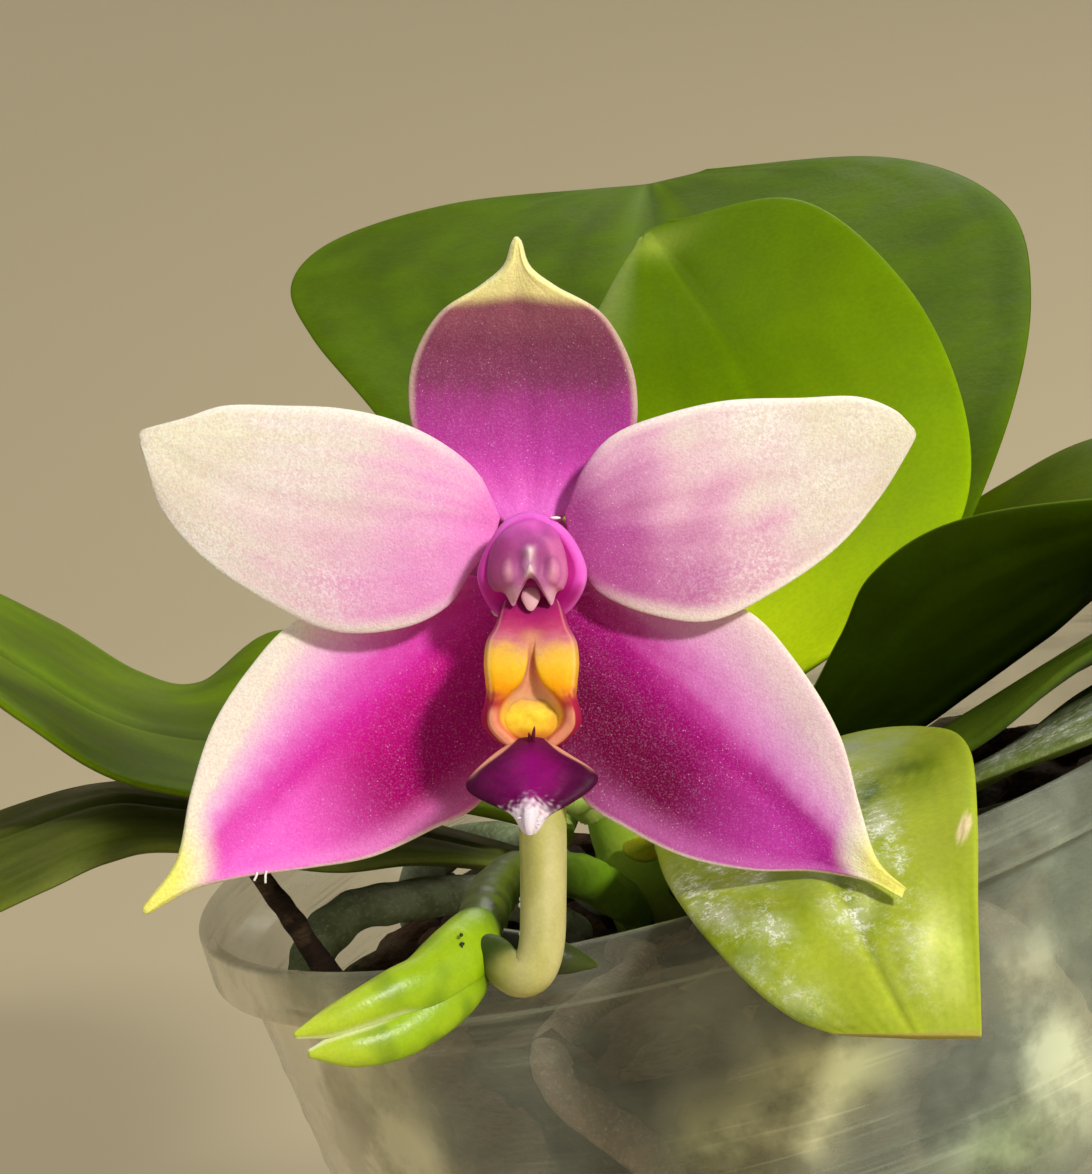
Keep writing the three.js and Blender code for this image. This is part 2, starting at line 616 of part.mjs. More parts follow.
// The column: a hood, recessed in front, over the anther cap
const HOOD_OUTLINE = [
  [-3.1, -0.1], [-3.3, 1.8], [-2.5, 3.8], [-1.5, 5.1], [0, 5.7], [1.6, 5.1],
  [2.8, 3.8], [3.6, 1.8], [3.3, -0.1], [2, 0.1], [0.1, 0.2], [-1.9, 0.1],
];
const CAP_OUTLINE = [
  [-2.3, 1.8], [-2, 3.4], [-1.1, 4.4], [0, 4.7], [1.2, 4.4], [2, 3.3], [2.2, 1.8], [2, 0.7],
  [1.4, -0.4], [0.8, 0.2], [0.1, -0.8], [-0.6, 0.1], [-1.1, -0.4], [-2, 0.7],
];
const HEART_HEIGHT = 2.4;
function stacked(outline, levels) {
  return loft(levels.map(([z, scale]) => outline.map(([x, y]) => new THREE.Vector3(
    x * scale, HEART_HEIGHT + (y - HEART_HEIGHT) * scale, z,
  )).reverse()));
}
place(flower, 'column', stacked(HOOD_OUTLINE, [
  [-0.7, 0.58], [0.9, 0.6], [2, 0.86], [3, 1], [4.2, 0.97], [4.3, 0.84], [2.2, 0.7], [2, 0.3],
]), COLUMN_MAGENTA);
place(flower, 'anther_cap', stacked(CAP_OUTLINE, [
  [2.6, 0.36], [4.5, 0.48], [4.9, 1], [5.6, 0.82], [6.2, 0.34],
]), CAP_MAUVE);

// The lip: a trough with two side lobes, the callus with its forked tip, and the anchor-shaped midlobe
const LIP_LEVELS = [
  { y: -0.5, half: 2.0, back: 0.6, front: 3.4, slot: 0.2, depth: 0.2 },
  { y: -1.7, half: 2.3, back: 0.7, front: 4.8, slot: 0.2, depth: 0.3 },
  { y: -2.7, half: 2.9, back: 0.9, front: 6.0, slot: 0.25, depth: 0.5 },
  { y: -4.0, half: 3.0, back: 1.0, front: 6.6, slot: 0.6, depth: 1.3 },
  { y: -5.4, half: 2.8, back: 1.2, front: 6.7, slot: 1.2, depth: 1.9 },
  { y: -6.4, half: 2.8, back: 1.4, front: 6.5, slot: 1.8, depth: 2.0 },
  { y: -7.3, half: 3.1, back: 1.7, front: 6.2, slot: 2.0, depth: 1.9 },
  { y: -8.1, half: 3.0, back: 2.2, front: 5.9, slot: 1.8, depth: 1.5 },
  { y: -8.9, half: 2.3, back: 2.9, front: 5.6, slot: 1.1, depth: 0.9 },
  { y: -9.6, half: 1.2, back: 3.8, front: 5.4, slot: 0.4, depth: 0.3 },
];
const LIP_SHIFT = 0.1;
function lipLevel({ y, half, back, front, slot, depth }) {
  const waist = (back + front) / 2;
  const side = [
    [half * 0.6, back + 0.2], [half, waist], [half * 0.96, front - 0.5], [(half + slot) / 2, front],
    [slot, front - 0.2], [slot * 0.5, front - depth],
  ];
  const outline = [[0, back], ...side, [0, front - depth], ...side.map(([x, z]) => [-x, z]).reverse()];
  return outline.map(([x, z]) => new THREE.Vector3(x + LIP_SHIFT, y, z));
}
const CALLUS = new THREE.SphereGeometry(1, 10, 8).scale(1.75, 1.25, 1.1).translate(LIP_SHIFT, -7.4, 4.9);
const FORK = [-0.35, 0.35].map((x) => new THREE.ConeGeometry(0.3, 1.5, 6)
  .rotateX(0.35).rotateZ(-x * 0.7).translate(LIP_SHIFT + x, -8.6, 5.9));
const MIDLOBE = {
  left: [
    [-1, -9.2, 4.9], [-2.4, -10, 5.7], [-3.9, -11.4, 6.8], [-3.7, -12.2, 7.3],
    [-2.2, -12.9, 8], [-1, -13.4, 8.7], [-0.3, -14.5, 9.1],
  ],
  spine: [
    [0.1, -9, 5.3], [0.1, -9.8, 6.4], [0.1, -10.7, 7.4], [0.1, -11.6, 8.2],
    [0, -12.5, 8.9], [0, -13.4, 9.3], [0, -14.6, 9.3],
  ],
  right: [
    [1.1, -9.2, 4.9], [2.6, -10, 5.7], [4.2, -11, 6.8], [4, -11.8, 7.3],
    [2.5, -12.8, 8], [1.1, -13.5, 8.7], [0.4, -14.5, 9.1],
  ],
};
place(flower, 'lip', fromSolid(fuse([
  loft(LIP_LEVELS.map(lipLevel)),
  CALLUS,
  ...FORK,
  blade(MIDLOBE, { rows: 9, columns: 6, thickness: 1.1, fold: 0.5 }),
])), LIP_YELLOW);

// The pedicel and ovary: it leaves the spike, bends in a U and swells behind the flower
const PEDICEL_ROUTE = [
  [-2.2, -23.8, -0.9], [-1, -24.4, -0.8], [0.1, -24, -1], [0.7, -22.2, -1.6], [0.8, -19.1, -2.8],
  [0.8, -14.6, -4.6], [0.6, -9.3, -5.6], [0.3, -4, -5.4], [0.1, 0.4, -4.2], [0, 1.6, -2.4],
];
const pedicelTube = (spare) => tube(PEDICEL_ROUTE, PEDICEL_RADIUS + spare, {
  sides: 10, steps: 18, taper: (s) => 0.96 + 0.1 * Math.sin(Math.PI * s),
});
place(flower, 'pedicel', pedicelTube(0), PALE_GREEN);

// The spike: a stalk from the stem over the rim, and flattened bracts at its end, seated round the pedicel
const SPIKE_JOINT = [-19.3, -45.6, 85.8];
const STALK_ROUTE = [
  [-9.2, -8, 75.2], [-11.8, -12.5, 79.4], [-15.8, -21, 83.2], [-18, -33, 85.1], SPIKE_JOINT,
];
const BRACTS = [
  { wide: 2.3, slim: 1.5, list: [[-18.9, -45, 86], [-22, -48.1, 85.8], [-26, -49.4, 85.4], [-32.2, -51.3, 84.8]] },
  { wide: 2.1, slim: 1.4, list: [[-19.6, -46, 84.9], [-23.2, -49.4, 83.6], [-27, -50.9, 82.8], [-31.6, -51.6, 83.6]] },
  { wide: 1.5, slim: 0.8, list: [[-18.6, -44.6, 84.8], [-16, -43.8, 83.8], [-14, -43.7, 83.1], [-12, -44, 82.6]] },
];
const TOWARD_VIEWER = [0, -0.98, 0.17];
function makeSpike() {
  const stalk = tube(STALK_ROUTE, STALK_RADIUS, { sides: 8, steps: 9 });
  const joint = new THREE.SphereGeometry(1, 8, 6).scale(2.2, 2, 2.1).translate(...SPIKE_JOINT);
  const bracts = BRACTS.map(({ wide, slim, list }) => tube(list, wide, {
    slim, sides: 8, steps: 8, face: TOWARD_VIEWER, taper: (s) => Math.sqrt(Math.max(0.02, 1 - s ** 2.2)),
  }));
  flower.updateMatrix();
  const start = point(PEDICEL_ROUTE[0]).applyMatrix4(flower.matrix).toArray();
  const seat = groove(pedicelTube(SEAT_GAP).applyMatrix4(flower.matrix), PEDICEL_RADIUS, [start]);
  return fromSolid(largest(fuse([stalk, joint, ...bracts]).subtract(seat)));
}
place(plant, 'flower_spike', makeSpike(), SPIKE_GREEN);

export default plant;
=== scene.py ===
import math

import bpy
import numpy as np
from mathutils import Matrix, Vector


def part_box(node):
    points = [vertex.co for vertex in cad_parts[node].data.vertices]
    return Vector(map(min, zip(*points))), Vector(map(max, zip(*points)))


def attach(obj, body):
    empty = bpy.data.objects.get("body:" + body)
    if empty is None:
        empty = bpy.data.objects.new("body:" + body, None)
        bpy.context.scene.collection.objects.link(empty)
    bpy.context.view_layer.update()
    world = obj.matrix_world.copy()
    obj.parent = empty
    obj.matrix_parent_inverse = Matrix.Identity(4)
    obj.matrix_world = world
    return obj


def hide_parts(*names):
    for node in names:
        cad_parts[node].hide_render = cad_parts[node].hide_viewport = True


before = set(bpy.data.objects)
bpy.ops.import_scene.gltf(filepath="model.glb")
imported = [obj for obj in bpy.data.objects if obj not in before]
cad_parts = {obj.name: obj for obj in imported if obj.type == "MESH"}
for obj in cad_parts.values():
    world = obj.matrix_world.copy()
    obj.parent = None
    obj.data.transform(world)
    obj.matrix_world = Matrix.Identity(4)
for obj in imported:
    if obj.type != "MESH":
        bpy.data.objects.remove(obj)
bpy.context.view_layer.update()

# A potted Phalaenopsis violacea in flower. Shapes are worked out in millimetres and stored in metres.

MM = 0.001

# Sizes of the pot and the bed; the pot's height and lip radius are read from the imported pot
POT_CORNER = np.array(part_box("pot")[1]) / MM
POT_HEIGHT = POT_CORNER[2]
LIP_RADIUS = POT_CORNER[0]
LIP_HEIGHT = 4.5
WALL = 1.1
WALL_TOP_RADIUS = LIP_RADIUS - 2.3
BASE_RADIUS = 31.8
RING_HEIGHTS = (70, 66, 62)
DRAIN_COUNT = 8
DRAIN_RADIUS = 3.2
DRAIN_CIRCLE = 21
BED_TOP = 70.5
WALL_TOP = POT_HEIGHT - LIP_HEIGHT
WALL_SLOPE = (WALL_TOP_RADIUS - BASE_RADIUS) / WALL_TOP

# The stem and the blades
STEM = np.array([-7.0, -2.0])
STEM_RADIUS = 4.2
CLASP_GAP = 0.5
CLASP_SPREAD = 27
SEAT_GAP = 0.35
ROOT_START = 5.8
LEAF_THICKNESS = 1.3
TEPAL_THICKNESS = 0.85
LEAF_GRID = (96, 40)
TEPAL_GRID = (120, 72)
ROOT_RADIUS = 1.7
ROOT_CLEARANCE = ROOT_RADIUS + 1.25
PEDICEL_RADIUS = 1.45
STALK_RADIUS = 1.7

# The flower's own frame: x to its right, y up its face, z out of its face
FLOWER_CENTRE = np.array([-9.2, -44.6, 106.4])
FLOWER_NOD = math.radians(9.5)
FLOWER_TWIST = math.radians(17)

# The photograph's camera, 22 cm in front of the flower
CAMERA_PLACE = (-0.00799, -0.26149, 0.14316)
CAMERA_NOD = math.radians(9.5)
CAMERA_ROLL = math.radians(17)
CAMERA_LENS = 103.9


# Numbers

def rise(value, low, high):
    """0 up to low, 1 from high on, and a smooth step between them."""
    share = np.clip((value - low) / (high - low), 0, 1)
    return share * share * (3 - 2 * share)


def bell(value, middle, wide):
    """1 at middle, falling away over about wide on either side."""
    return np.exp(-(((value - middle) / wide) ** 2))


def waves(seed, places, length, count=9):
    """Smooth noise from about -1 to 1 over places, with waves of about that length."""
    places = np.asarray(places, float)
    draw = np.random.default_rng(seed)
    total = np.zeros(places.shape[:-1])
    for _ in range(count):
        way = draw.normal(size=places.shape[-1])
        way *= 2 * math.pi / (length * draw.uniform(0.6, 1.6) * np.linalg.norm(way))
        total += np.sin(places @ way + draw.uniform(0, 2 * math.pi))
    return total / math.sqrt(count)


def route(points, share):
    """Places at the given shares of a uniform Catmull-Rom curve through the points."""
    points = np.asarray(points, float)
    spread = np.vstack([2 * points[0] - points[1], points, 2 * points[-1] - points[-2]])
    place = np.clip(share, 0, 1) * (len(points) - 1)
    first = np.minimum(place.astype(int), len(points) - 2)
    w = (place - first)[..., None]
    a, b, c, d = (spread[first + k] for k in range(4))
    return 0.5 * (2 * b + (c - a) * w + (2 * a - 5 * b + 4 * c - d) * w**2 + (3 * b - a - 3 * c + d) * w**3)


def round_route(points, share):
    """The same for a curve that closes on itself."""
    points = np.asarray(points, float)
    place = np.asarray(share) % 1 * len(points)
    first = place.astype(int)
    w = (place - first)[..., None]
    a, b, c, d = (points[(first + k - 1) % len(points)] for k in range(4))
    return 0.5 * (2 * b + (c - a) * w + (2 * a - 5 * b + 4 * c - d) * w**2 + (3 * b - a - 3 * c + d) * w**3)


def even_route(points, steps):
    """Places at even lengths along the curve, with the direction at each."""
    fine = route(points, np.linspace(0, 1, 40 * len(points)))
    length = np.concatenate([[0], np.cumsum(np.linalg.norm(np.diff(fine, axis=0), axis=1))])
    even = np.linspace(0, length[-1], steps + 1)
    places = np.stack([np.interp(even, length, fine[:, k]) for k in range(3)], -1)
    ways = np.gradient(places, axis=0)
    return places, ways / np.linalg.norm(ways, axis=1)[:, None]


def unit(vectors):
    return vectors / (np.linalg.norm(vectors, axis=-1)[..., None] + 1e-12)


def in_flower(places):
    """Places in the flower's frame, carried into the plant's."""
    nod, twist = math.pi / 2 - FLOWER_NOD, -FLOWER_TWIST
    level, upright = math.cos(nod), math.sin(nod)
    lean = np.array([[1, 0, 0], [0, level, -upright], [0, upright, level]])
    along, aside = math.cos(twist), math.sin(twist)
    turn = np.array([[along, -aside, 0], [aside, along, 0], [0, 0, 1]])
    return np.asarray(places) @ (lean @ turn).T + FLOWER_CENTRE


# Colours, worked out at each point of a mesh

def tint(code):
    """A colour written as in a paint chart, as linear red, green and blue."""
    channels = np.array([int(code[i:i + 2], 16) for i in (0, 2, 4)]) / 255
    return np.where(channels <= 0.04045, channels / 12.92, ((channels + 0.055) / 1.055) ** 2.4)


def linear(colour):
    return tint(colour) if isinstance(colour, str) else np.asarray(colour)


def over(under, colour, share):
    """The colour laid over what is under it, by that share."""
    return under + (linear(colour) - under) * np.asarray(share)[..., None]


def plain(colour, like):
    return np.broadcast_to(linear(colour), (*np.shape(like), 3)).copy()


def ramp(value, *stops):
    """Colours that run smoothly through stops of (value, colour)."""
    marks = [mark for mark, _ in stops]
    shades = np.array([tint(code) for _, code in stops])
    return np.stack([np.interp(value, marks, shades[:, channel]) for channel in range(3)], -1)


# Meshes: each maker gives places (rings by points by 3) and faces that close them

def ring_faces(rings, count, ends="fan"):
    """Quads between rings of points, closed at the ends: zipped for a thin strip, or with a fan."""
    row, column = np.meshgrid(np.arange(rings - 1), np.arange(count), indexing="ij")
    after = (column + 1) % count
    quads = np.stack([row * count + column, row * count + after,
                      (row + 1) * count + after, (row + 1) * count + column], -1).reshape(-1, 4)
    faces = quads.tolist()
    for ring, turned in ((0, True), (rings - 1, False)):
        start = ring * count
        if ends == "zip":
            half = count // 2
            for c in range(half):
                far = [start + (count - c) % count, start + (count - c - 1) % count]
                face = [start + c, start + c + 1, far[1], far[0]]
                face = list(dict.fromkeys(face))
                faces.append(face[::-1] if turned else face)
        else:
            middle = rings * count + (0 if turned else 1)
            for c in range(count):
                face = [start + c, start + (c + 1) % count, middle]
                faces.append(face[::-1] if turned else face)
    return faces


def volume(places, faces):
    """Six times what the faces close in; below 0 where they are inside out."""
    corners = np.array([(face[0], face[i], face[i + 1]) for face in faces for i in range(1, len(face) - 1)])
    a, b, c = places[corners.T]
    return np.sum(a * np.cross(b, c))


class Shape:
    """Closed skins that go into one mesh, with a colour at each point."""

    def __init__(self):
        self.places = []
        self.colours = []
        self.dust_and_sheen = []
        self.faces = []
        self.count = 0

    def add(self, rings, colours, ends="fan", faces=None, dust_and_sheen=0.0):
        places = np.asarray(rings, float)
        colours = np.asarray(colours, float)
        if faces is None:
            faces = ring_faces(places.shape[0], places.shape[1], ends)
            flat, shades = places.reshape(-1, 3), colours.reshape(-1, 3)
            if ends == "fan":
                flat = np.vstack([flat, places[0].mean(0), places[-1].mean(0)])
                shades = np.vstack([shades, colours[0].mean(0), colours[-1].mean(0)])
        else:
            flat, shades = places.reshape(-1, 3), colours.reshape(-1, 3)
        if volume(flat, faces) < 0:
            faces = [face[::-1] for face in faces]
        self.dust_and_sheen.append(np.zeros(len(flat)))
        self.dust_and_sheen[-1][:places[..., 0].size] = np.broadcast_to(dust_and_sheen, places.shape[:-1]).ravel()
        self.places.append(flat)
        self.colours.append(shades)
        self.faces.extend([[corner + self.count for corner in face] for face in faces])
        self.count += len(flat)
        return self

    def build(self, name, material, slot, *replaced):
        places = np.vstack(self.places) * MM
        mesh = bpy.data.meshes.new(name)
        mesh.from_pydata(places.tolist(), [], self.faces)
        layer = mesh.color_attributes.new("tint", "FLOAT_COLOR", "POINT")
        colours = np.ones((len(places), 4), np.float32)
        colours[:, :3] = np.clip(np.vstack(self.colours), 0, 1)
        layer.data.foreach_set("color", colours.ravel())
        # A share per point for pale deposits on leaves and the pot, which also carries painted glitter on
        # the petals and painted glare on the pot
        mesh.attributes.new("dust_and_sheen", "FLOAT", "POINT").data.foreach_set("value", np.concatenate(self.dust_and_sheen))
        mesh.polygons.foreach_set("use_smooth", np.ones(len(self.faces), bool))
        mesh.materials.append(material)
        mesh.update()
        thing = bpy.data.objects.new(name, mesh)
        bpy.context.scene.collection.objects.link(thing)
        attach(thing, "root")
        if replaced:
            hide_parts(*replaced)
        return thing


def blade(left, spine, right, grid, thickness, fold=0.3, relief=None, tip=0.2):
    """A thin blade through its two margins and its midrib.

    Gives the rings of its skin, the share along and the place across (-1 to 1) of each point, and
    1 on the front and -1 on the back. relief(along, across, width, front) lifts a face in millimetres.
    """
    rows, columns = grid
    s = np.linspace(0, 1, rows + 1)
    t = np.sin(np.linspace(-1, 1, columns + 1) * math.pi / 2)
    a, m, b = (route(points, s)[:, None, :] for points in (left, spine, right))
    across = t[None, :, None]
    bowed = a * across * (across - 1) / 2 + m * (1 - across**2) + b * across * (across + 1) / 2
    straight = m + (np.where(across < 0, a, b) - m) * np.abs(across)
    middle = bowed + (straight - bowed) * fold
    along_way = np.gradient(middle, s, axis=0)
    across_way = np.gradient(middle, t, axis=1)
    normal = unit(np.cross(across_way, along_way))
    width = np.linalg.norm(b - a, axis=-1) / 2 + 0 * t[None, :]
    along = s[:, None] + 0 * t[None, :]
    side = t[None, :] + 0 * s[:, None]
    half = thickness / 2 * (1 - 0.28 * side**2) * np.sqrt(np.clip(1 - np.abs(side) ** 16, 0, 1))
    half = half * np.maximum(tip, np.sqrt(np.clip(1 - along**24, 0, 1)))
    faces = []
    for front in (1, -1):
        lift = relief(along, side, width, front) if relief else 0
        lift = lift * np.clip(1 - np.abs(side) ** 8, 0, 1)
        faces.append(middle + normal * (front * half + lift)[..., None])
    wrap = lambda front, back: np.concatenate([front, back[:, -2:0:-1]], axis=1)
    one = np.ones_like(side)
    return wrap(*faces), wrap(along, along), wrap(side, side), wrap(one, -one)


def tube(points, wide, sides=20, steps=90, slim=None, size=None, face=None, rough=0.0, seed=0):
    """A tube along a route. size(share) scales its radius, and a face flattens it towards that side."""
    places, ways = even_route(points, steps)
    share = np.linspace(0, 1, steps + 1)
    scale = size(share) if size else np.ones(steps + 1)
    slim = wide if slim is None else slim
    if face is not None:
        across = unit(np.cross(np.asarray(face, float), ways))
    else:
        across = np.zeros_like(ways)
        start = np.cross(ways[0], [0.3, 0.5, 0.8])
        across[0] = start / np.linalg.norm(start)
        for i in range(1, len(ways)):
            carried = across[i - 1] - ways[i] * (across[i - 1] @ ways[i])
            across[i] = carried / np.linalg.norm(carried)
    through = np.cross(ways, across)
    turn = np.linspace(0, 2 * math.pi, sides, endpoint=False)
    out = across[:, None] * (np.cos(turn)[None, :, None] * wide)
    out = out + through[:, None] * (np.sin(turn)[None, :, None] * slim)
    rings = places[:, None] + out * scale[:, None, None]
    if rough:
        rings += unit(out) * (rough * waves(seed, rings, 2.6))[..., None]
    return rings, share[:, None] + 0 * turn[None, :], turn[None, :] + 0 * share[:, None]


def lathe(profile, sides, at=(0, 0)):
    """A profile of (radius, height) turned round the upright axis at a place."""
    turn = np.linspace(0, 2 * math.pi, sides, endpoint=False)
    profile = np.asarray(profile, float)
    radius = np.maximum(profile[:, 0], 0.01)[:, None]
    return np.stack([at[0] + radius * np.cos(turn), at[1] + radius * np.sin(turn),
                     profile[:, 1][:, None] + 0 * turn], -1)


def ball(centre, size, sides=20, rings=14):
    """An ellipsoid, as rings from pole to pole along z."""
    polar = np.linspace(0.02, math.pi - 0.02, rings)[:, None]
    turn = np.linspace(0, 2 * math.pi, sides, endpoint=False)[None, :]
    upright, level = np.cos(polar), np.sin(polar)
    skin = np.stack([level * np.cos(turn), level * np.sin(turn), upright + 0 * turn], -1)
    return skin * np.asarray(size) + np.asarray(centre)


def widths(*radii):
    """A tube's radius by the share along it, through these radii at even steps."""
    levels = np.stack([radii, radii], -1)
    return lambda share: route(levels, share)[:, 0]


# Materials: noise and cell scales are per millimetre, relief in millimetres

class Paint:
    """A material that takes its colour from the mesh's tint, with short calls for what is added to it."""

    def __init__(self, name, **fixed):
        self.material = bpy.data.materials.new(name)
        self.material.use_nodes = True
        self.tree = self.material.node_tree
        self.surface = self.tree.nodes["Principled BSDF"]
        for socket, value in fixed.items():
            self.surface.inputs[socket.replace("_", " ")].default_value = value
        coordinates = self.tree.nodes.new("ShaderNodeTexCoord")
        scaled = self.tree.nodes.new("ShaderNodeVectorMath")
        scaled.operation = "SCALE"
        scaled.inputs["Scale"].default_value = 1 / MM
        self.tree.links.new(coordinates.outputs["Object"], scaled.inputs[0])
        self.place = scaled.outputs[0]
        self.tint = self.attribute("tint").outputs["Color"]
        self.dust_and_sheen = self.attribute("dust_and_sheen").outputs["Fac"]

    def attribute(self, name):
        node = self.tree.nodes.new("ShaderNodeAttribute")
        node.attribute_name = name
        return node

    def put(self, socket, value):
        if isinstance(value, bpy.types.NodeSocket):
            self.tree.links.new(value, socket)
        elif socket.type == "RGBA":
            socket.default_value = (*value, 1)
        else:
            socket.default_value = value

    def math(self, operation, first, second=0.0):
        node = self.tree.nodes.new("ShaderNodeMath")
        node.operation = operation
        self.put(node.inputs[0], first)
        self.put(node.inputs[1], second)
        return node.outputs[0]

    def noise(self, scale, detail=2.0, roughness=0.5, stretch=(1, 1, 1)):
        """Noise whose waves are about 1 / scale millimetres."""
        node = self.tree.nodes.new("ShaderNodeTexNoise")
        node.inputs["Scale"].default_value = scale
        node.inputs["Detail"].default_value = detail
        node.inputs["Roughness"].default_value = roughness
        mapping = self.tree.nodes.new("ShaderNodeVectorMath")
        mapping.operation = "MULTIPLY"
        mapping.inputs[1].default_value = stretch
        self.tree.links.new(self.place, mapping.inputs[0])
        self.tree.links.new(mapping.outputs[0], node.inputs["Vector"])
        return node.outputs["Fac"]

    def cells(self, scale):
        """The distance to the middle of the nearest cell; a cell is about 1 / scale millimetres."""
        node = self.tree.nodes.new("ShaderNodeTexVoronoi")
        node.inputs["Scale"].default_value = scale
        self.tree.links.new(self.place, node.inputs["Vector"])
        return node.outputs["Distance"]

    def rise(self, value, low, high, bottom=0.0, top=1.0):
        node = self.tree.nodes.new("ShaderNodeMapRange")
        node.interpolation_type = "SMOOTHSTEP"
        self.put(node.inputs["Value"], value)
        for name, number in (("From Min", low), ("From Max", high), ("To Min", bottom), ("To Max", top)):
            node.inputs[name].default_value = number
        return node.outputs[0]

    def mix(self, share, first, second, kind="MIX"):
        node = self.tree.nodes.new("ShaderNodeMix")
        node.data_type = "RGBA"
        node.blend_type = kind
        self.put(node.inputs["Factor"], share)
        first_colour, second_colour, mixed = node.inputs[6], node.inputs[7], node.outputs[2]
        self.put(first_colour, first)
        self.put(second_colour, second)
        return mixed

    def bump(self, height, distance, strength=1.0):
        """Relief of so many millimetres; a second call adds to the first."""
        node = self.tree.nodes.new("ShaderNodeBump")
        node.inputs["Distance"].default_value = distance * MM
        node.inputs["Strength"].default_value = strength
        self.tree.links.new(height, node.inputs["Height"])
        normal = self.surface.inputs["Normal"]
        if normal.links:
            self.tree.links.new(normal.links[0].from_socket, node.inputs["Normal"])
        self.tree.links.new(node.outputs[0], normal)

    def finish(self, colour):
        self.put(self.surface.inputs["Base Color"], colour)
        return self.material


def petal_paint(name, sparkle, depth):
    """Petal skin: rows of tiny glassy papillae over a soft body that light enters; their sparkle is painted
    into the colour as light specks and glitter.
    """
    paint = Paint(name, Roughness=0.42, Subsurface_Weight=depth, Subsurface_Scale=0.0009,
                  Subsurface_Radius=(1.0, 0.45, 0.6), Specular_IOR_Level=0.05)
    papillae = paint.cells(6.5)
    fine = paint.noise(5.0, 2, 0.6)
    broad = paint.noise(0.55, 3, 0.6)
    colour = paint.mix(paint.rise(broad, 0.3, 0.7, 0.0, 0.12), paint.tint, (1, 1, 1), "SOFT_LIGHT")
    colour = paint.mix(paint.rise(fine, 0.35, 0.62, 0.26, 0.0), colour, (0.75, 0.4, 0.65), "MULTIPLY")
    # Painted glitter: whitish specks where the mesh's per-point share is high, on the petals' outer parts.
    glitter_sheen = paint.math("MULTIPLY", paint.rise(paint.noise(3.6, 4, 0.7), 0.46, 0.6), paint.dust_and_sheen)
    colour = paint.mix(glitter_sheen, colour, (1, 0.96, 0.93))
    # Painted highlights: the speckle, glints and sparks below mix the colour towards a lighter tint, for
    # light off the papillae.
    grain = paint.math("MULTIPLY", paint.rise(paint.noise(8, 2, 0.7), 0.5, 0.72), 0.4)
    glints = paint.math("MULTIPLY", paint.rise(papillae, 0.03, 0.28, 1, 0), paint.rise(fine, 0.5, 0.66))
    shine = paint.math("MULTIPLY", paint.math("MAXIMUM", grain, glints), sparkle)
    lighter = paint.mix(0.34, colour, (1, 0.74, 0.96))
    colour = paint.mix(shine, colour, lighter)
    sparks = paint.rise(paint.cells(3.4), 0.04, 0.17, 1, 0)
    sparks = paint.math("MULTIPLY", sparks, paint.rise(broad, 0.46, 0.6, 0.15, 1))
    colour = paint.mix(paint.math("MULTIPLY", sparks, sparkle * 0.75), colour, (1, 0.9, 0.97))
    paint.bump(paint.noise(0.45, 2, 0.5), 0.12, 0.4)
    paint.bump(papillae, 0.04, 0.6)
    return paint.finish(colour)


def leaf_paint(name, roughness, depth=0.12, mottle=0.35):
    """Leaf skin: waxy, faintly mottled, with a fine orange-peel relief."""
    paint = Paint(name, Subsurface_Weight=depth, Subsurface_Scale=0.0012,
                  Subsurface_Radius=(0.5, 1.0, 0.1), Specular_IOR_Level=0.03)
    broad = paint.noise(0.16, 4, 0.6)
    fine = paint.noise(2.4, 3, 0.6)
    colour = paint.mix(paint.rise(broad, 0.35, 0.7, 0.0, mottle), paint.tint, (0.8, 0.9, 0.2), "SOFT_LIGHT")
    colour = paint.mix(paint.rise(fine, 0.35, 0.65, 0.2, 0.0), colour, (0.45, 0.6, 0.3), "MULTIPLY")
    # Pale deposit where the mesh asks for it: lime, and on the young leaf a painted highlight.
    specks = paint.rise(paint.noise(1.1, 5, 0.75), 0.47, 0.6)
    grain = paint.math("MULTIPLY", specks, paint.rise(paint.noise(5, 2, 0.6), 0.38, 0.58))
    film_and_sheen = paint.rise(paint.noise(0.3, 4, 0.6), 0.35, 0.7, 0.0, 0.5)
    powder_and_sheen = paint.math("MULTIPLY", paint.math("ADD", grain, film_and_sheen), paint.dust_and_sheen)
    colour = paint.mix(powder_and_sheen, colour, tuple(tint("f2f4e4")))
    wax = paint.rise(broad, 0.3, 0.7, roughness - 0.07, roughness + 0.09)
    paint.put(paint.surface.inputs["Roughness"], wax)
    paint.bump(fine, 0.05, 0.35)
    paint.bump(broad, 0.5, 0.35)
    return paint.finish(colour)


def wax_paint(name, roughness, depth=0.25, gloss=0.15):
    """The waxy flesh of the column, lip, pedicel and bracts."""
    paint = Paint(name, Roughness=roughness, Subsurface_Weight=depth, Subsurface_Scale=0.0008,
                  Subsurface_Radius=(1.0, 0.6, 0.35), Specular_IOR_Level=gloss)
    fine = paint.noise(4.5, 3, 0.6)
    broad = paint.noise(0.8, 3, 0.55)
    colour = paint.mix(paint.rise(fine, 0.35, 0.65, 0.16, 0.0), paint.tint, (0.7, 0.5, 0.5), "MULTIPLY")
    colour = paint.mix(paint.rise(broad, 0.4, 0.75, 0.0, 0.2), colour, (1, 1, 0.9), "SOFT_LIGHT")
    paint.bump(fine, 0.04, 0.5)
    paint.bump(broad, 0.15, 0.4)
    return paint.finish(colour)


def root_paint(name):
    """Spongy root skin: dull, with a lengthwise grain and pits."""
    paint = Paint(name, Roughness=0.78, Specular_IOR_Level=0.3)
    broad = paint.noise(0.35, 4, 0.65)
    fine = paint.noise(3.2, 4, 0.7)
    colour = paint.mix(paint.rise(broad, 0.4, 0.65, 0.0, 0.55), paint.tint, (0.33, 0.28, 0.2), "MULTIPLY")
    colour = paint.mix(paint.rise(fine, 0.5, 0.75, 0.0, 0.4), colour, (0.75, 0.74, 0.66))
    paint.bump(fine, 0.16, 0.7)
    paint.bump(paint.cells(1.6), 0.2, 0.35)
    return paint.finish(colour)


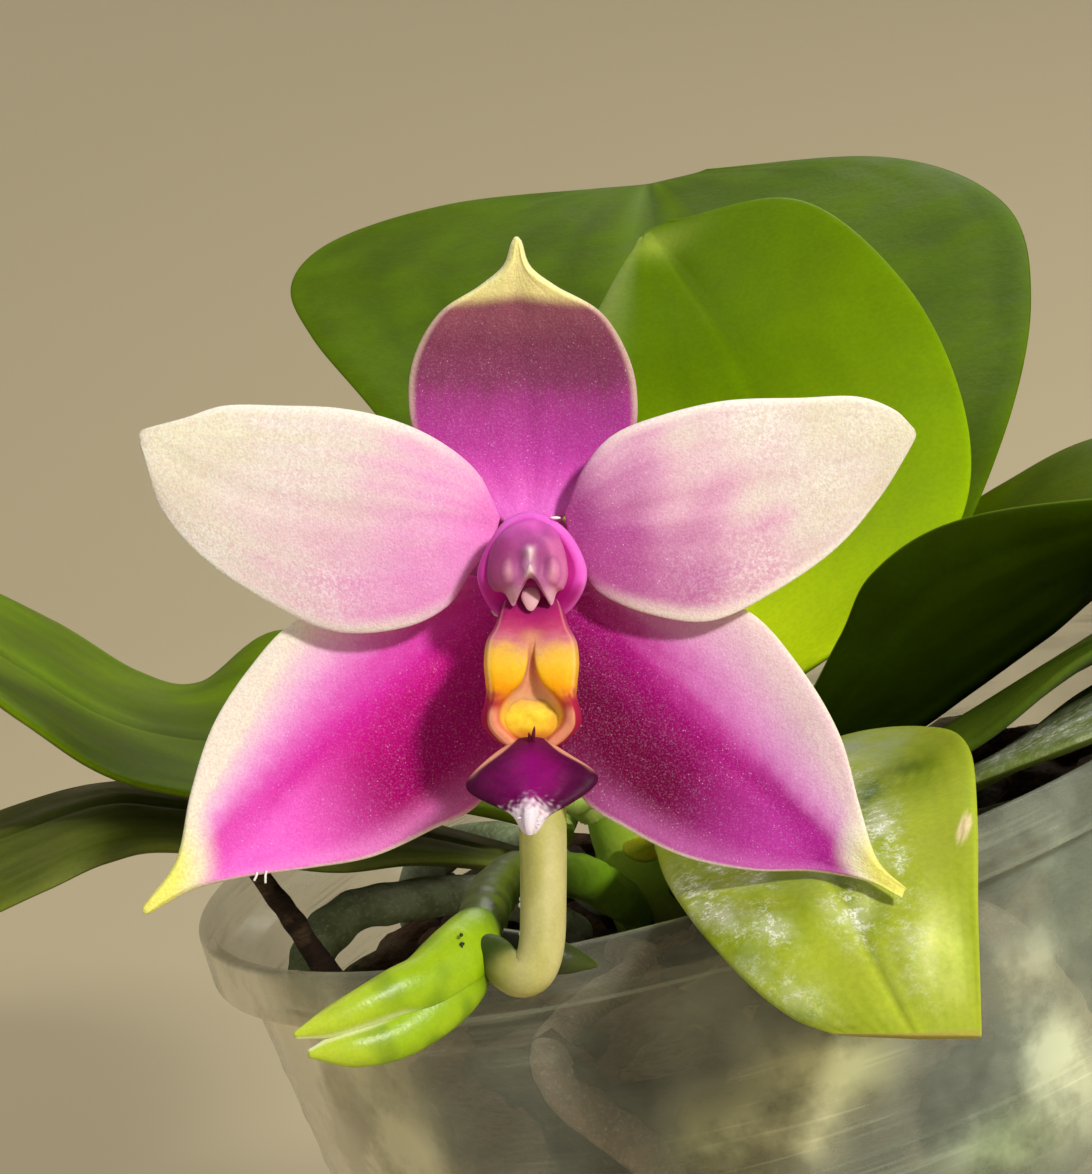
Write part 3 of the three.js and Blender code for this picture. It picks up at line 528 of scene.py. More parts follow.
def bark_paint(name):
    """Moist bark: dark, fibrous, with paler worn flakes."""
    paint = Paint(name, Roughness=0.82, Specular_IOR_Level=0.35)
    fibre = paint.noise(1.1, 5, 0.7, (1, 1, 3.2))
    flake = paint.noise(0.35, 4, 0.65)
    colour = paint.mix(paint.rise(fibre, 0.35, 0.65, 0.65, 0.0), paint.tint, (0.22, 0.16, 0.12), "MULTIPLY")
    colour = paint.mix(paint.rise(flake, 0.58, 0.75, 0.0, 0.4), colour, tuple(tint("a88463")))
    paint.bump(fibre, 0.6, 0.8)
    paint.bump(flake, 1.0, 0.5)
    return paint.finish(colour)


def pot_paint(name):
    """Thin clear plastic: it shows where it turns edge-on, in fine horizontal streaks of painted
    reflection, and under a coat of lime and algae with a band of painted glare.
    """
    paint = Paint(name, Roughness=0.14, Specular_IOR_Level=0.8, IOR=1.46)
    facing = paint.tree.nodes.new("ShaderNodeLayerWeight")
    facing.inputs["Blend"].default_value = 0.3
    edge_alpha, clear_alpha = 0.42, 0.035
    # Lime, algae and painted glare make the plastic paler and less clear where the mesh's per-point share
    # is high.
    cloud = paint.rise(paint.noise(0.14, 5, 0.6), 0.36, 0.64, 0.5, 1.4)
    bloom_and_glare = paint.math("MULTIPLY", cloud, paint.dust_and_sheen)
    # Painted reflections: fine horizontal streaks, in patches, where the plastic shows paler.
    streak = paint.rise(paint.noise(1.6, 3, 0.6, (0.03, 0.03, 1)), 0.52, 0.72, 0.0, 0.24)
    patch = paint.rise(paint.noise(0.07, 2, 0.5), 0.42, 0.6)
    glare_streaks = paint.math("MULTIPLY", streak, patch)
    edge = paint.math("MULTIPLY", facing.outputs["Facing"], edge_alpha)
    alpha = paint.math("ADD", paint.math("ADD", bloom_and_glare, glare_streaks), paint.math("ADD", edge, clear_alpha))
    paint.put(paint.surface.inputs["Alpha"], alpha)
    paint.bump(paint.noise(0.9, 2, 0.5, (1, 1, 0.2)), 0.06, 0.3)
    return paint.finish(paint.tint)


# The pot

# Dried lime and algae on the wall, and a broad pale band of painted light on the left (the first two):
# angle about the pot and its width, height and its width, depth, colour
FILM_AND_GLARE_PATCHES = (
    (-157, 10, 58, 34, 0.85, "fff4d2"), (-141, 7, 64, 18, 0.6, "e2dab0"), (-101, 5, 65, 4, 0.6, "c0be90"),
    (-93, 5, 66.5, 4, 0.75, "dcd8a6"), (-86, 5, 68, 3, 0.5, "ccc88c"), (-96, 8, 74, 3, 0.3, "b4b698"),
    (-71, 8, 58.4, 3, 0.4, "a2b070"), (-63, 5, 62, 5, 0.6, "ecf0c4"), (-67, 6, 69.6, 2.5, 0.4, "d6d0aa"),
    (-75, 14, 64, 12, 0.2, "8c9c90"), (-55, 12, 75, 8, 0.25, "98a894"), (-90, 20, 40, 14, 0.18, "a8ab84"),
    (-120, 9, 22, 16, 0.14, "c8c09a"), (-40, 10, 30, 18, 0.16, "b4b88e"),
    (-15, 8, 55, 14, 0.12, "d8d4b0"),
    (20, 14, 40, 22, 0.08, "b8bc98"), (52, 6, 62, 10, 0.14, "a2ae78"), (88, 12, 34, 18, 0.1, "ccc8a4"),
    (120, 9, 60, 12, 0.12, "d8d4b0"), (150, 12, 28, 16, 0.1, "b4b88e"), (178, 7, 50, 18, 0.14, "c8c09a"),
)


def outer_radius(z):
    return BASE_RADIUS + WALL_SLOPE * z


def inner_radius(z):
    return outer_radius(z) - WALL


def round_corner(before, corner, after, radius, steps=4):
    """Points that round a profile's corner."""
    before, corner, after = (np.asarray(p, float) for p in (before, corner, after))
    start = corner + unit(before - corner) * radius
    end = corner + unit(after - corner) * radius
    share = np.linspace(0, 1, steps + 1)[:, None]
    return (start * (1 - share) ** 2 + 2 * corner * share * (1 - share) + end * share**2).tolist()


def around_pot(places):
    """The angle about the pot's axis, in degrees."""
    return np.degrees(np.arctan2(places[..., 1], places[..., 0]))


def pot_film_and_glare(places):
    """The pale coat on the wall, uneven and in patches, with a painted band of light on the left: its
    colour and how thick it lies.
    """
    turn, height = around_pot(places), places[..., 2]
    film_and_sheen = 0.05 + 0.025 * waves(12, places, 30)
    colours = plain("b4b8a2", film_and_sheen)
    ragged = 1 + 0.35 * waves(13, places, 8)
    for middle, wide, level, high, depth, code in FILM_AND_GLARE_PATCHES:
        away = (turn - middle + 180) % 360 - 180
        patch = depth * bell(away, 0, wide) * bell(height, level, high)
        film_and_sheen = film_and_sheen + patch * ragged
        colours = over(colours, code, np.clip(3 * patch, 0, 1))
    return colours, np.clip(film_and_sheen, 0.02, 0.8)


def make_pot():
    heights = np.linspace(2.0, WALL_TOP - 0.6, 150)
    ribs = sum(0.1 * bell(heights, z, 0.4) for z in RING_HEIGHTS)
    outside = [[outer_radius(z) + rib, z] for z, rib in zip(heights, ribs)]
    step_out, step_in = [LIP_RADIUS, WALL_TOP + 0.3], [inner_radius(WALL_TOP), WALL_TOP]
    lip_out, lip_in = [LIP_RADIUS, POT_HEIGHT], [LIP_RADIUS - WALL, POT_HEIGHT]
    lip_foot = [LIP_RADIUS - WALL, WALL_TOP + WALL]
    corners = [
        ([WALL_TOP_RADIUS, WALL_TOP - 2], [WALL_TOP_RADIUS, WALL_TOP], step_out, 0.3),
        ([WALL_TOP_RADIUS, WALL_TOP], step_out, lip_out, 0.4),
        ([LIP_RADIUS, WALL_TOP], lip_out, lip_in, 0.4),
        (lip_out, lip_in, lip_foot, 0.35),
        (lip_in, lip_foot, step_in, 0.3),
        (lip_foot, step_in, [inner_radius(20), 20], 0.4),
        ([inner_radius(20), 20], [inner_radius(WALL), WALL], [0, WALL], 0.8),
    ]
    profile = [[0, 0], *round_corner([0, 0], [BASE_RADIUS, 0], [outer_radius(4), 4], 0.8), *outside]
    for before, corner, after, radius in corners:
        profile += round_corner(before, corner, after, radius)
    profile.append([0, WALL])
    rings = lathe(profile, 160)
    colours, film_and_sheen = pot_film_and_glare(rings)
    pot = Shape().add(rings, colours, dust_and_sheen=film_and_sheen).build(
        "pot_clear", pot_paint("clear_plastic"), "clear_pot", "pot")
    cutters = Shape()
    for i in range(DRAIN_COUNT):
        turn = 2 * math.pi * i / DRAIN_COUNT
        at = (DRAIN_CIRCLE * math.cos(turn), DRAIN_CIRCLE * math.sin(turn))
        hole = lathe([[0, -WALL], [DRAIN_RADIUS, -WALL], [DRAIN_RADIUS, 2 * WALL], [0, 2 * WALL]], 28, at)
        cutters.add(hole, plain("cfd8d2", hole[..., 0]))
    cutter = cutters.build("drain_cutter", pot.data.materials[0], "clear_pot")
    cut = pot.modifiers.new("drains", "BOOLEAN")
    cut.operation = "DIFFERENCE"
    cut.object = cutter
    evaluated = pot.evaluated_get(bpy.context.evaluated_depsgraph_get())
    finished = bpy.data.meshes.new_from_object(evaluated)
    pot.modifiers.clear()
    pot.data = finished
    bpy.data.objects.remove(cutter)


# The bark

BED_COLOURS = [tint(code) for code in ("5b3f2b", "6e4c33", "4a3323", "7a5a3e", "3c2a1e")]


def block_grid(cells=4):
    """A cube's skin as a grid on each side, with shared edges: places from -1 to 1, and faces."""
    index, places, faces = {}, [], []

    def corner(place):
        key = tuple(np.round(place, 5))
        if key not in index:
            index[key] = len(places)
            places.append(place)
        return index[key]

    steps = np.linspace(-1, 1, cells + 1)
    for axis in range(3):
        u, v = (axis + 1) % 3, (axis + 2) % 3
        for side in (-1, 1):
            for i in range(cells):
                for j in range(cells):
                    face = []
                    for du, dv in ((0, 0), (1, 0), (1, 1), (0, 1)):
                        place = np.zeros(3)
                        place[axis], place[u], place[v] = side, steps[i + du], steps[j + dv]
                        face.append(corner(place))
                    faces.append(face if side > 0 else face[::-1])
    return np.array(places), faces


def turned(draw, tilt):
    """A random turn about the upright axis, with a tilt of up to so many radians."""
    about = draw.uniform(0, 2 * math.pi)
    lean_x, lean_y = draw.uniform(-tilt, tilt, 2)
    turn = Matrix.Rotation(about, 3, "Z") @ Matrix.Rotation(lean_x, 3, "X")
    return np.array(turn @ Matrix.Rotation(lean_y, 3, "Y"))


def make_bark():
    draw = np.random.default_rng(11)
    block, block_faces = block_grid()
    floor = WALL + 0.4
    limit = lambda z: inner_radius(z) - SEAT_GAP
    shape = Shape()
    heights = np.linspace(floor, BED_TOP - 1.6, 40)
    sides = [[limit(z) - 2.2, z] for z in heights]
    profile = [[0, floor], *sides, [limit(BED_TOP) * 0.6, BED_TOP - 0.4], [0, BED_TOP]]
    core = lathe(profile, 96)
    middle = core[3:-3]
    core[3:-3] += unit(middle * [1, 1, 0]) * (0.8 * waves(3, middle, 9))[..., None]
    shape.add(core, plain("2c1f16", core[..., 0]))

    root_places = np.array([place for facts in WALL_ROOTS.values() for place in wall_route(*facts)[2:]])
    near_root, behind_root = 8, 3.4

    def chip(centre, size, turn, depth=0.0):
        rough = block * (1 - 0.16 * (np.sum(block**2, 1, keepdims=True) - 1))
        dents = [waves(draw.integers(1 << 30), block, 1.3, 5) for _ in range(3)]
        rough = rough + 0.13 * np.stack(dents, -1)
        places = (rough * size / 2) @ turn.T + centre
        places[:, 2] = np.clip(places[:, 2], floor, BED_TOP + 5.5)
        reach = np.hypot(places[:, 0], places[:, 1])
        places[:, :2] *= np.minimum(1, (limit(places[:, 2]) - depth) / reach)[:, None]
        colour = BED_COLOURS[draw.integers(len(BED_COLOURS))] * draw.uniform(0.6, 1.6)
        moss = rise(waves(14, places, 16), -0.3, 1.0) * rise(reach, 24, 32)
        shape.add(places, over(plain(colour, reach), "6a7344", 0.6 * moss), faces=block_faces)

    surface_chips, wall_chips, even_turn = 150, 420, 2.39996
    for i in range(surface_chips):
        about = i * even_turn
        reach = (limit(BED_TOP) - 2) * math.sqrt((i + 0.5) / surface_chips)
        z = BED_TOP + draw.uniform(-0.9, 0.7)
        centre = np.array([reach * math.cos(about), reach * math.sin(about), z])
        if np.hypot(*(centre[:2] - STEM)) < STEM_RADIUS + 3:
            continue
        size = np.array([draw.uniform(6, 12), draw.uniform(4, 7.5), draw.uniform(2, 4)])
        chip(centre, size, turned(draw, 0.5))
    for i in range(wall_chips):
        about = i * even_turn
        z = floor + 3 + (BED_TOP - floor - 4) * ((i + 0.5) / wall_chips)
        reach = limit(z) - draw.uniform(0.6, 2.4)
        centre = np.array([reach * math.cos(about), reach * math.sin(about), z])
        size = np.array([draw.uniform(3, 5), draw.uniform(6, 13), draw.uniform(4, 9)])
        depth = draw.uniform(0, 1.6)
        if np.min(np.linalg.norm(root_places - centre, axis=1)) < near_root:
            depth = behind_root
        chip(centre, size, np.array(Matrix.Rotation(about, 3, "Z")) @ turned(draw, 0.35), depth)
    shape.build("bark_bed", bark_paint("bark"), "bark", "growing_medium")


# The roots, the stem and the dead stub

def wall_route(turn, start, drop, sweep, lift):
    """From the stem across the bark, and down inside the clear wall."""
    leave, first = math.radians(start), math.radians(turn)
    edge = inner_radius(BED_TOP) - ROOT_CLEARANCE
    begin = [STEM[0] + ROOT_START * math.cos(leave), STEM[1] + ROOT_START * math.sin(leave), BED_TOP + 1]
    middle = [edge * 0.55 * math.cos(first), edge * 0.55 * math.sin(first), BED_TOP + lift]
    points = [begin, [(begin[0] + middle[0]) / 2, (begin[1] + middle[1]) / 2, BED_TOP + lift], middle]
    for i in range(5):
        z = BED_TOP + 1 - drop * i / 4
        angle = math.radians(turn + sweep * i / 4 + 7 * math.sin(i * 2.1))
        reach = inner_radius(z) - ROOT_CLEARANCE
        points.append([reach * math.cos(angle), reach * math.sin(angle), z])
    return points


# For each root: its turn about the pot and about the stem, its drop, its sweep and how high it arches
WALL_ROOTS = {
    "root_wall_front_left": (240, 224, 50, 22, 1.9),
    "root_wall_front": (296, 290, 58, 14, 1.8),
    "root_wall_right": (342, 340, 46, 26, 1.8),
    "root_wall_back_right": (48, 35, 52, -16, 2),
    "root_wall_back_left": (100, 85, 48, 26, 2),
}
AERIAL_ROOTS = {
    "root_aerial_left": [
        [-12.8, -3.4, 72.4], [-15.8, -7, 76.2], [-19.4, -10, 79.7], [-24.6, -11.6, 81.4],
        [-29.3, -12.6, 82],
        [-32.6, -13.8, 80.2], [-33.8, -13.6, 76], [-32.6, -12, 69], [-31, -11, 64],
    ],
    "root_aerial_back": [
        [-10.6, 3, 72.4], [-15, 11, 76.5], [-21, 18, 77.5], [-26, 21, 74.5], [-26.6, 21, 69],
        [-25, 19.5, 63],
    ],
}


# A root's slot and its two colours, against the wall and in the air
ROOT_KINDS = (("root_pale", "9c8068", "8f9468"), ("root_grey_green", "a3ab8a", "6f8a4a"))


def root_size(share):
    end = np.sqrt(np.clip(1 - ((share - 0.5) / 0.5) ** 30, 0.05, 1))
    return end * (0.72 + 0.28 * np.sin(math.pi * np.minimum(1, 0.25 + 0.75 * (1 - share))))


def make_roots():
    paint = root_paint("root_skin")
    routes = {name: wall_route(*facts) for name, facts in WALL_ROOTS.items()} | AERIAL_ROOTS
    for seed, (name, points) in enumerate(routes.items()):
        rings, share, _ = tube(points, ROOT_RADIUS, 20, 130, size=root_size, rough=0.1, seed=seed)
        slot, skin, blush = ROOT_KINDS[name in AERIAL_ROOTS]
        colours = over(plain(skin, share), blush, 0.5 * rise(waves(seed + 40, rings, 12), -0.2, 1))
        colours = over(colours, "7d9a3c", rise(share, 0.93, 1))
        Shape().add(rings, colours).build(name + "_skin", paint, slot, name)


STUB_ROUTE = [[-28.6, -18.6, 64], [-29.8, -18.4, 74], [-32.2, -17.6, 81], [-34.6, -16, 88]]
STUB_RADIUS = 1.1


def make_stub():
    size = lambda share: (1 - 0.3 * share) * (1 + 0.12 * bell(share, 0.55, 0.03))
    rings, share, _ = tube(STUB_ROUTE, STUB_RADIUS, 16, 60, size=size, rough=0.09, seed=5)
    colours = over(plain("3d2a1d", share), "7a6144", rise(waves(8, rings, 3), 0.2, 1) * 0.6)
    paint = bark_paint("dead_stalk")
    Shape().add(rings, colours).build("old_spike_stub_skin", paint, "dead_brown", "old_spike_stub")


def make_stem():
    low, high = (np.array(corner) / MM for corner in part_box("stem"))
    height = np.linspace(low[2] + 0.4, high[2] - 0.3, 120)
    share = (height - height[0]) / (height[-1] - height[0])
    scar = 0.22 * np.abs(np.sin(share * math.pi * 4)) ** 0.6
    radius = (STEM_RADIUS - 1.15 + 0.75 * share + scar) * np.sqrt(np.clip(1 - share**7, 0.02, 1))
    rings = lathe([[0, low[2]], *np.stack([radius, height], -1).tolist(), [0, high[2]]], 48, STEM)
    share = (rings[..., 2] - low[2]) / (high[2] - low[2])
    colours = over(plain("6d5a34", share), "8fae3c", rise(share, 0.45, 0.7))
    colours = over(colours, "a8b84c", 0.6 * rise(share, 0.85, 0.95))
    colours = foot_glow(colours, rings)
    Shape().add(rings, colours).build("stem_skin", leaf_paint("stem_skin", 0.45), "stem_green", "stem")


# The leaves: margins and midrib from the stem to the tip

LEAVES = {
    "leaf_back": {
        "turn": 92, "height": 78, "fold": 0.35, "slot": "leaf_dark",
        "colours": ("526a00", "3c5200", "7c8a1c"),
        "left": [
            [-12.5, 22, 94], [-17.5, 53, 108], [-23, 76.5, 117.5], [-24, 91, 122.5],
            [-18.5, 100, 125], [-6, 101, 125], [9, 98, 122.3],
        ],
        "spine": [
            [-1, 23, 90.5], [5, 41, 99.5], [9, 57.5, 107], [11, 68.5, 112],
            [12.5, 77.5, 115.5], [14, 88, 118.5], [15, 97.5, 121],
        ],
        "right": [
            [8, 9, 84.8], [22, 12.5, 88], [33, 25.5, 95.5], [42, 45.5, 104],
            [45, 64, 111.5], [38, 81.5, 117.5], [21, 95, 121],
        ],
    },
    "leaf_bright": {
        "turn": 68, "height": 83, "fold": 0.4, "slot": "leaf_bright",
        "colours": ("7d9a00", "638200", "a8b43c"),
        "left": [
            [-9.5, 8, 90.5], [-10, 17, 97.5], [-7.5, 25.5, 104.5], [-2.5, 32.5, 110.5],
            [2.5, 37, 114.5], [6, 41, 117.5], [9.3, 44, 120],
        ],
        "spine": [
            [1, 7, 86], [8, 12, 91.5], [13, 17.5, 97.5], [14.5, 23.5, 103.5],
            [13.5, 30.5, 110], [12, 38, 115], [10.4, 45.4, 120.3],
        ],
        "right": [
            [6.5, -1.5, 86.5], [17.5, 1, 89.5], [26, 7.5, 94], [29.5, 16, 101.5],
            [29, 27.5, 111], [23.5, 38.5, 119.5], [12.4, 44.2, 120.7],
        ],
    },
    "leaf_right_upper": {
        "turn": 4, "height": 79.8, "fold": 0.45, "slot": "leaf_dark",
        "colours": ("506200", "384a00", "263400"),
        # Its underside colour is near black-green: painted shade on the side turned from the light.
        "left": [
            [6.7, 5, 79.6], [16, 12.5, 83], [25, 21.5, 90], [32.5, 24, 92.5], [42.5, 22, 94],
            [57, 13, 91], [67, -4.5, 82.5],
        ],
        "spine": [
            [6, -3.5, 79.6], [15, -4.5, 81.5], [21, -5, 83.6], [27.5, -5.5, 86], [36, -6, 89],
            [52, -7, 88.5], [68, -6.6, 81.6],
        ],
        "right": [
            [6, -11.5, 85.5], [11.5, -16.5, 92], [15, -19, 96.5], [21.5, -19.5, 98.5], [32, -19, 97],
            [49, -16.5, 92.3], [66, -8.5, 82.2],
        ],
    },
    "leaf_right_middle": {
        "turn": -26, "height": 77, "clasp": 20, "fold": 0.3, "slot": "leaf_green",
        "colours": ("56691c", "3f520c", "5d6e34"),
        "left": [[9.5, -4, 76.2], [21, -3, 78.6], [33, -1, 83], [46, -3, 86], [60, -13, 82]],
        "spine": [[8.5, -11, 79], [19.5, -15, 83], [30, -17, 86], [43, -18, 87.4], [61, -16.6, 81.8]],
        "right": [
            [7.5, -14, 79], [18, -22.6, 82.6], [28, -27.5, 88], [41, -28.5, 88.6], [60.5, -20, 82.4],
        ],
    },
    "leaf_right_lower": {
        "turn": -56, "height": 74.4, "clasp": 18, "fold": 0.3, "slot": "leaf_green",
        "colours": ("6f7d3a", "526224", "4a5626"), "powder_and_sheen": [(0.55, 0.2, 0.35, 0.9)],
        "left": [[10.5, -10.8, 76.4], [21.5, -12, 78.8], [29, -13.5, 82], [42, -16.5, 84.8], [54, -23, 82]],
        "spine": [
            [9.5, -18.4, 78.3], [18.5, -22.2, 80.7], [26.5, -25, 82.9], [38, -26.5, 85],
            [55, -26.4, 81.6],
        ],
        "right": [
            [8.5, -24.2, 80.2], [17.5, -30, 82.2], [24.8, -34.2, 83.9], [36, -35, 84.9],
            [54, -29.6, 81.8],
        ],
    },
    "leaf_left_upper": {
        "turn": 172, "height": 80.2, "fold": 0.3, "slot": "leaf_green",
        "colours": ("627a00", "4a6000", "78862c"),
        "left": [
            [-19.5, -12, 87.5], [-30, -17.5, 92], [-38, -21, 96.5], [-42.5, -22.5, 100],
            [-46.5, -22.5, 105], [-53, -19, 112.5], [-63.4, -7.6, 118],
        ],
        "spine": [
            [-19.5, -1, 87], [-30, -2, 93], [-39, -3.5, 97], [-44, -4, 100.5],
            [-48.5, -4, 105.5], [-55, -4, 112.5], [-64.6, -3.6, 118.2],
        ],
        "right": [
            [-18, 15.5, 90.5], [-30, 23, 98.5], [-38.5, 24.5, 96], [-43.5, 25, 98.5],
            [-49, 24, 105], [-56, 16, 113], [-63.8, 1, 118.2],
        ],
    },
    "leaf_left_lower": {
        "turn": 200, "height": 76.6, "clasp": 16, "fold": 0.5, "slot": "leaf_green",
        "colours": ("666c30", "4c5418", "585c30"),
        "left": [
            [-22.3, -13.8, 84.3], [-29.3, -19.3, 87.2], [-39, -23.5, 93], [-43.5, -25.5, 94],
            [-48.5, -26.5, 93.5], [-57, -25, 92.4], [-67.2, -15.4, 92],
        ],
        "spine": [
            [-22, -5.5, 83.5], [-29, -8, 87.5], [-40, -10.5, 93], [-44, -12, 95],
            [-49, -14, 95.5], [-58, -14, 94.8], [-68.4, -12.6, 92.2],
        ],
        "right": [
            [-22, 5, 82.4], [-29.5, 8, 86.5], [-40.5, 6.5, 91.5], [-45.5, 5, 93.5],
            [-50.5, 2, 94.5], [-60, -4, 94.6], [-67.8, -10, 92.4],
        ],
    },
    "leaf_front_trimmed": {
        "turn": -84, "height": 78.6, "clasp": 20, "fold": 0.35, "slot": "leaf_bright",
        "colours": ("a6b034", "8a9a20", "a3ad62"), "tip": 0.8, "cut": True,
        "powder_and_sheen": [
            (0.5, 0.86, 0.08, 1.0), (0.58, 0.8, 0.05, 0.9), (0.5, 0.44, 0.05, 0.9),
            (0.62, 0.56, 0.06, 0.7),
            (0.57, -0.34, 0.06, 1.0), (0.66, 0.02, 0.08, 0.7), (0.66, -0.39, 0.03, 0.9),
            (0.36, -0.3, 0.12, 1.0),
            (0.445, 0.6, 0.06, 1.0), (0.76, 0.8, 0.12, 0.35), (0.8, -0.3, 0.12, 0.3),
        ],
        # Colour patches on the upper face: darker green mottling, and the two pale yellow ones at along
        # 0.84 to 0.88 are a painted highlight.
        "patches": [
            (0.49, -0.42, 0.05, 0.9, "4c6408"), (0.5, -0.66, 0.05, 0.7, "54690c"),
            (0.56, -0.72, 0.05, 0.5, "5c7410"),
            (0.62, 0.42, 0.06, 0.6, "5c7410"), (0.5, 0.2, 0.08, 0.6, "647c18"),
            (0.58, -0.08, 0.05, 0.5, "647c18"),
            (0.62, 0.95, 0.1, 0.5, "5c6c10"), (0.71, -0.12, 0.04, 0.4, "6c8018"),
            (0.88, 0.9, 0.06, 0.4, "76881c"),
            (0.84, -0.46, 0.07, 0.8, "e6ea86"), (0.88, -0.68, 0.06, 0.7, "dce478"),
            (0.74, 0.5, 0.08, 0.5, "b8c43c"),
            (0.36, -0.7, 0.08, 0.8, "a4ac88"), (0.42, -0.1, 0.1, 0.6, "98a070"),
        ],
        "left": [
            [0, -12, 82.5], [10.5, -16, 84.5], [16, -21, 84.6], [17, -31, 85],
            [15, -43.2, 83.5], [12.5, -51.5, 79.7], [10, -56.5, 73.2],
        ],
        "spine": [
            [-2.5, -13.5, 81.8], [2, -22, 84], [3.5, -35, 84.1], [4.5, -46.5, 83.2],
            [5, -51.5, 80.2], [5.5, -54.8, 77.2], [6, -56.6, 74.5],
        ],
        "right": [
            [-6, -14.5, 81], [-6, -25.5, 83], [-6, -38, 83.8], [-5, -48.5, 83],
            [-3, -52.6, 79.7], [-1, -54.8, 77.4], [1, -55.7, 76],
        ],
    },
    "leaf_young": {
        "turn": 236, "height": 82.4, "clasp": 26, "fold": 0.2, "slot": "leaf_bright",
        # Its pale dusting stands for a highlight at the crown: painted highlight.
        "colours": ("9db83e", "86a832", "a8b860"), "powder_and_sheen": [(0.6, 0.0, 0.35, 0.7)],
        "left": [[-7.6, -8.2, 84.6], [-9, -11, 84.4]],
        "spine": [[-10.4, -7.8, 84.8], [-10.8, -11.2, 84.6]],
        "right": [[-12.6, -6.6, 85], [-12, -10.6, 85]],
    },
}


# Where the sun lights the front leaf's sheath
FOOT_GLOW = [-8.6, -8.2, 79]


def leaf_relief(along, across, width, front):
    """A groove over the midrib, its keel below, and a slow waviness that both faces share."""
    from_rib = np.abs(across) * width
    fade = 1 - rise(along, 0.9, 1)
    rib = -0.42 * bell(from_rib, 0, 0.9) if front > 0 else -0.45 * bell(from_rib, 0, 1.3)
    lines = 0.035 * np.sin(across * 46 + 1.5 * np.sin(along * 5))
    wave = 0.22 * np.sin(along * 15 + across * 2.5) * np.abs(across) ** 2
    return (rib + lines * front) * fade + wave * rise(along, 0, 0.2)


def leaf_colours(facts, rings, along, across, face, seed):
    body, deep, under = (tint(code) for code in facts["colours"])
    from_rib = np.abs(across)
    veins = 0.7 * waves(seed, np.stack([across * 3.2, along * 0.35], -1), 0.6)
    veins = veins + 0.6 * waves(seed + 2, rings, 12)
    colours = over(plain(body, along), deep, 0.6 * rise(veins, -0.6, 1.2))
    colours = over(colours, deep * 0.7, 0.5 * bell(from_rib, 0, 0.035))
    colours = over(colours, body * 1.35, 0.5 * bell(from_rib, 0.07, 0.03))
    colours = over(colours, body * 1.25, 0.5 * rise(from_rib, 0.93, 1))
    colours = over(colours, "b9c77a", 0.4 * (1 - rise(along, 0.02, 0.14)))
    lower = over(plain(under, along), deep, 0.35 * rise(veins, -0.4, 1))
    colours = np.where(face[..., None] > 0, colours, lower)
    if facts.get("cut"):
        colours = over(colours, "b8a45c", 0.8 * rise(along, 0.99, 0.998))
        scar = bell(np.hypot((along - 0.724) / 0.017, (across + 0.9) / 0.065), 0, 1)
        colours = over(colours, "ecd6a4", rise(scar, 0.2, 0.5))
        colours = over(colours, "94703c", 0.8 * rise(scar, 0.8, 1))
        ragged = 1 + 0.4 * waves(seed + 5, rings, 3)
        for centre_along, centre_across, wide, share, code in facts["patches"]:
            patch = bell(along, centre_along, wide) * bell(across, centre_across, 2.4 * wide)
            colours = over(colours, code, np.clip(share * patch * ragged, 0, 1) * (face > 0))
        # Bright yellow at the foot: painted sunlight on the sheath.
        colours = over(colours, "f4e83c", 0.9 * (1 - rise(along, 0.08, 0.2)))
    return colours


def foot_glow(colours, rings):
    """Sun on the pale sheath of the front leaf's foot."""
    away = np.linalg.norm(rings - FOOT_GLOW, axis=-1)
    return over(colours, "f6ec40", 0.95 * bell(away, 0, 2.0))


def leaf_dust_and_sheen(facts, along, across, face):
    """The share of pale deposit: patches of (along, across, width, strength) on the upper side. It is dried
    lime, except on the young leaf, where it is a painted highlight.
    """
    dust_and_sheen = 0 * along
    for centre_along, centre_across, wide, strength in facts.get("powder_and_sheen", ()):
        patch = bell(along, centre_along, wide) * bell(across, centre_across, 1.8 * wide)
        dust_and_sheen = np.maximum(dust_and_sheen, strength * patch)
    return dust_and_sheen * (face > 0)


def bright_leaf_colours(colours, along, across, face):
    """Sunlight through the upright leaf, painted: yellow-green low down and darker above, a greyish painted
    sheen along one margin, and a pale painted highlight at the tip.
    """
    colours = over(colours, "587400", 0.85 * rise(along, 0.36, 0.7))
    colours = over(colours, "dcf010", 0.9 * (1 - rise(along, 0.12, 0.5)))
    colours = over(colours, "9cbc0c", 0.6 * bell(along, 0.45, 0.25) * rise(across, -0.2, 0.9))
    colours = over(colours, "8d9958", 0.6 * rise(-across, 0.6, 0.95) * rise(along, 0.45, 0.7))
    return over(colours, "aab84c", 0.6 * bell(along, 0.96, 0.035) * bell(across, -0.2, 0.7))


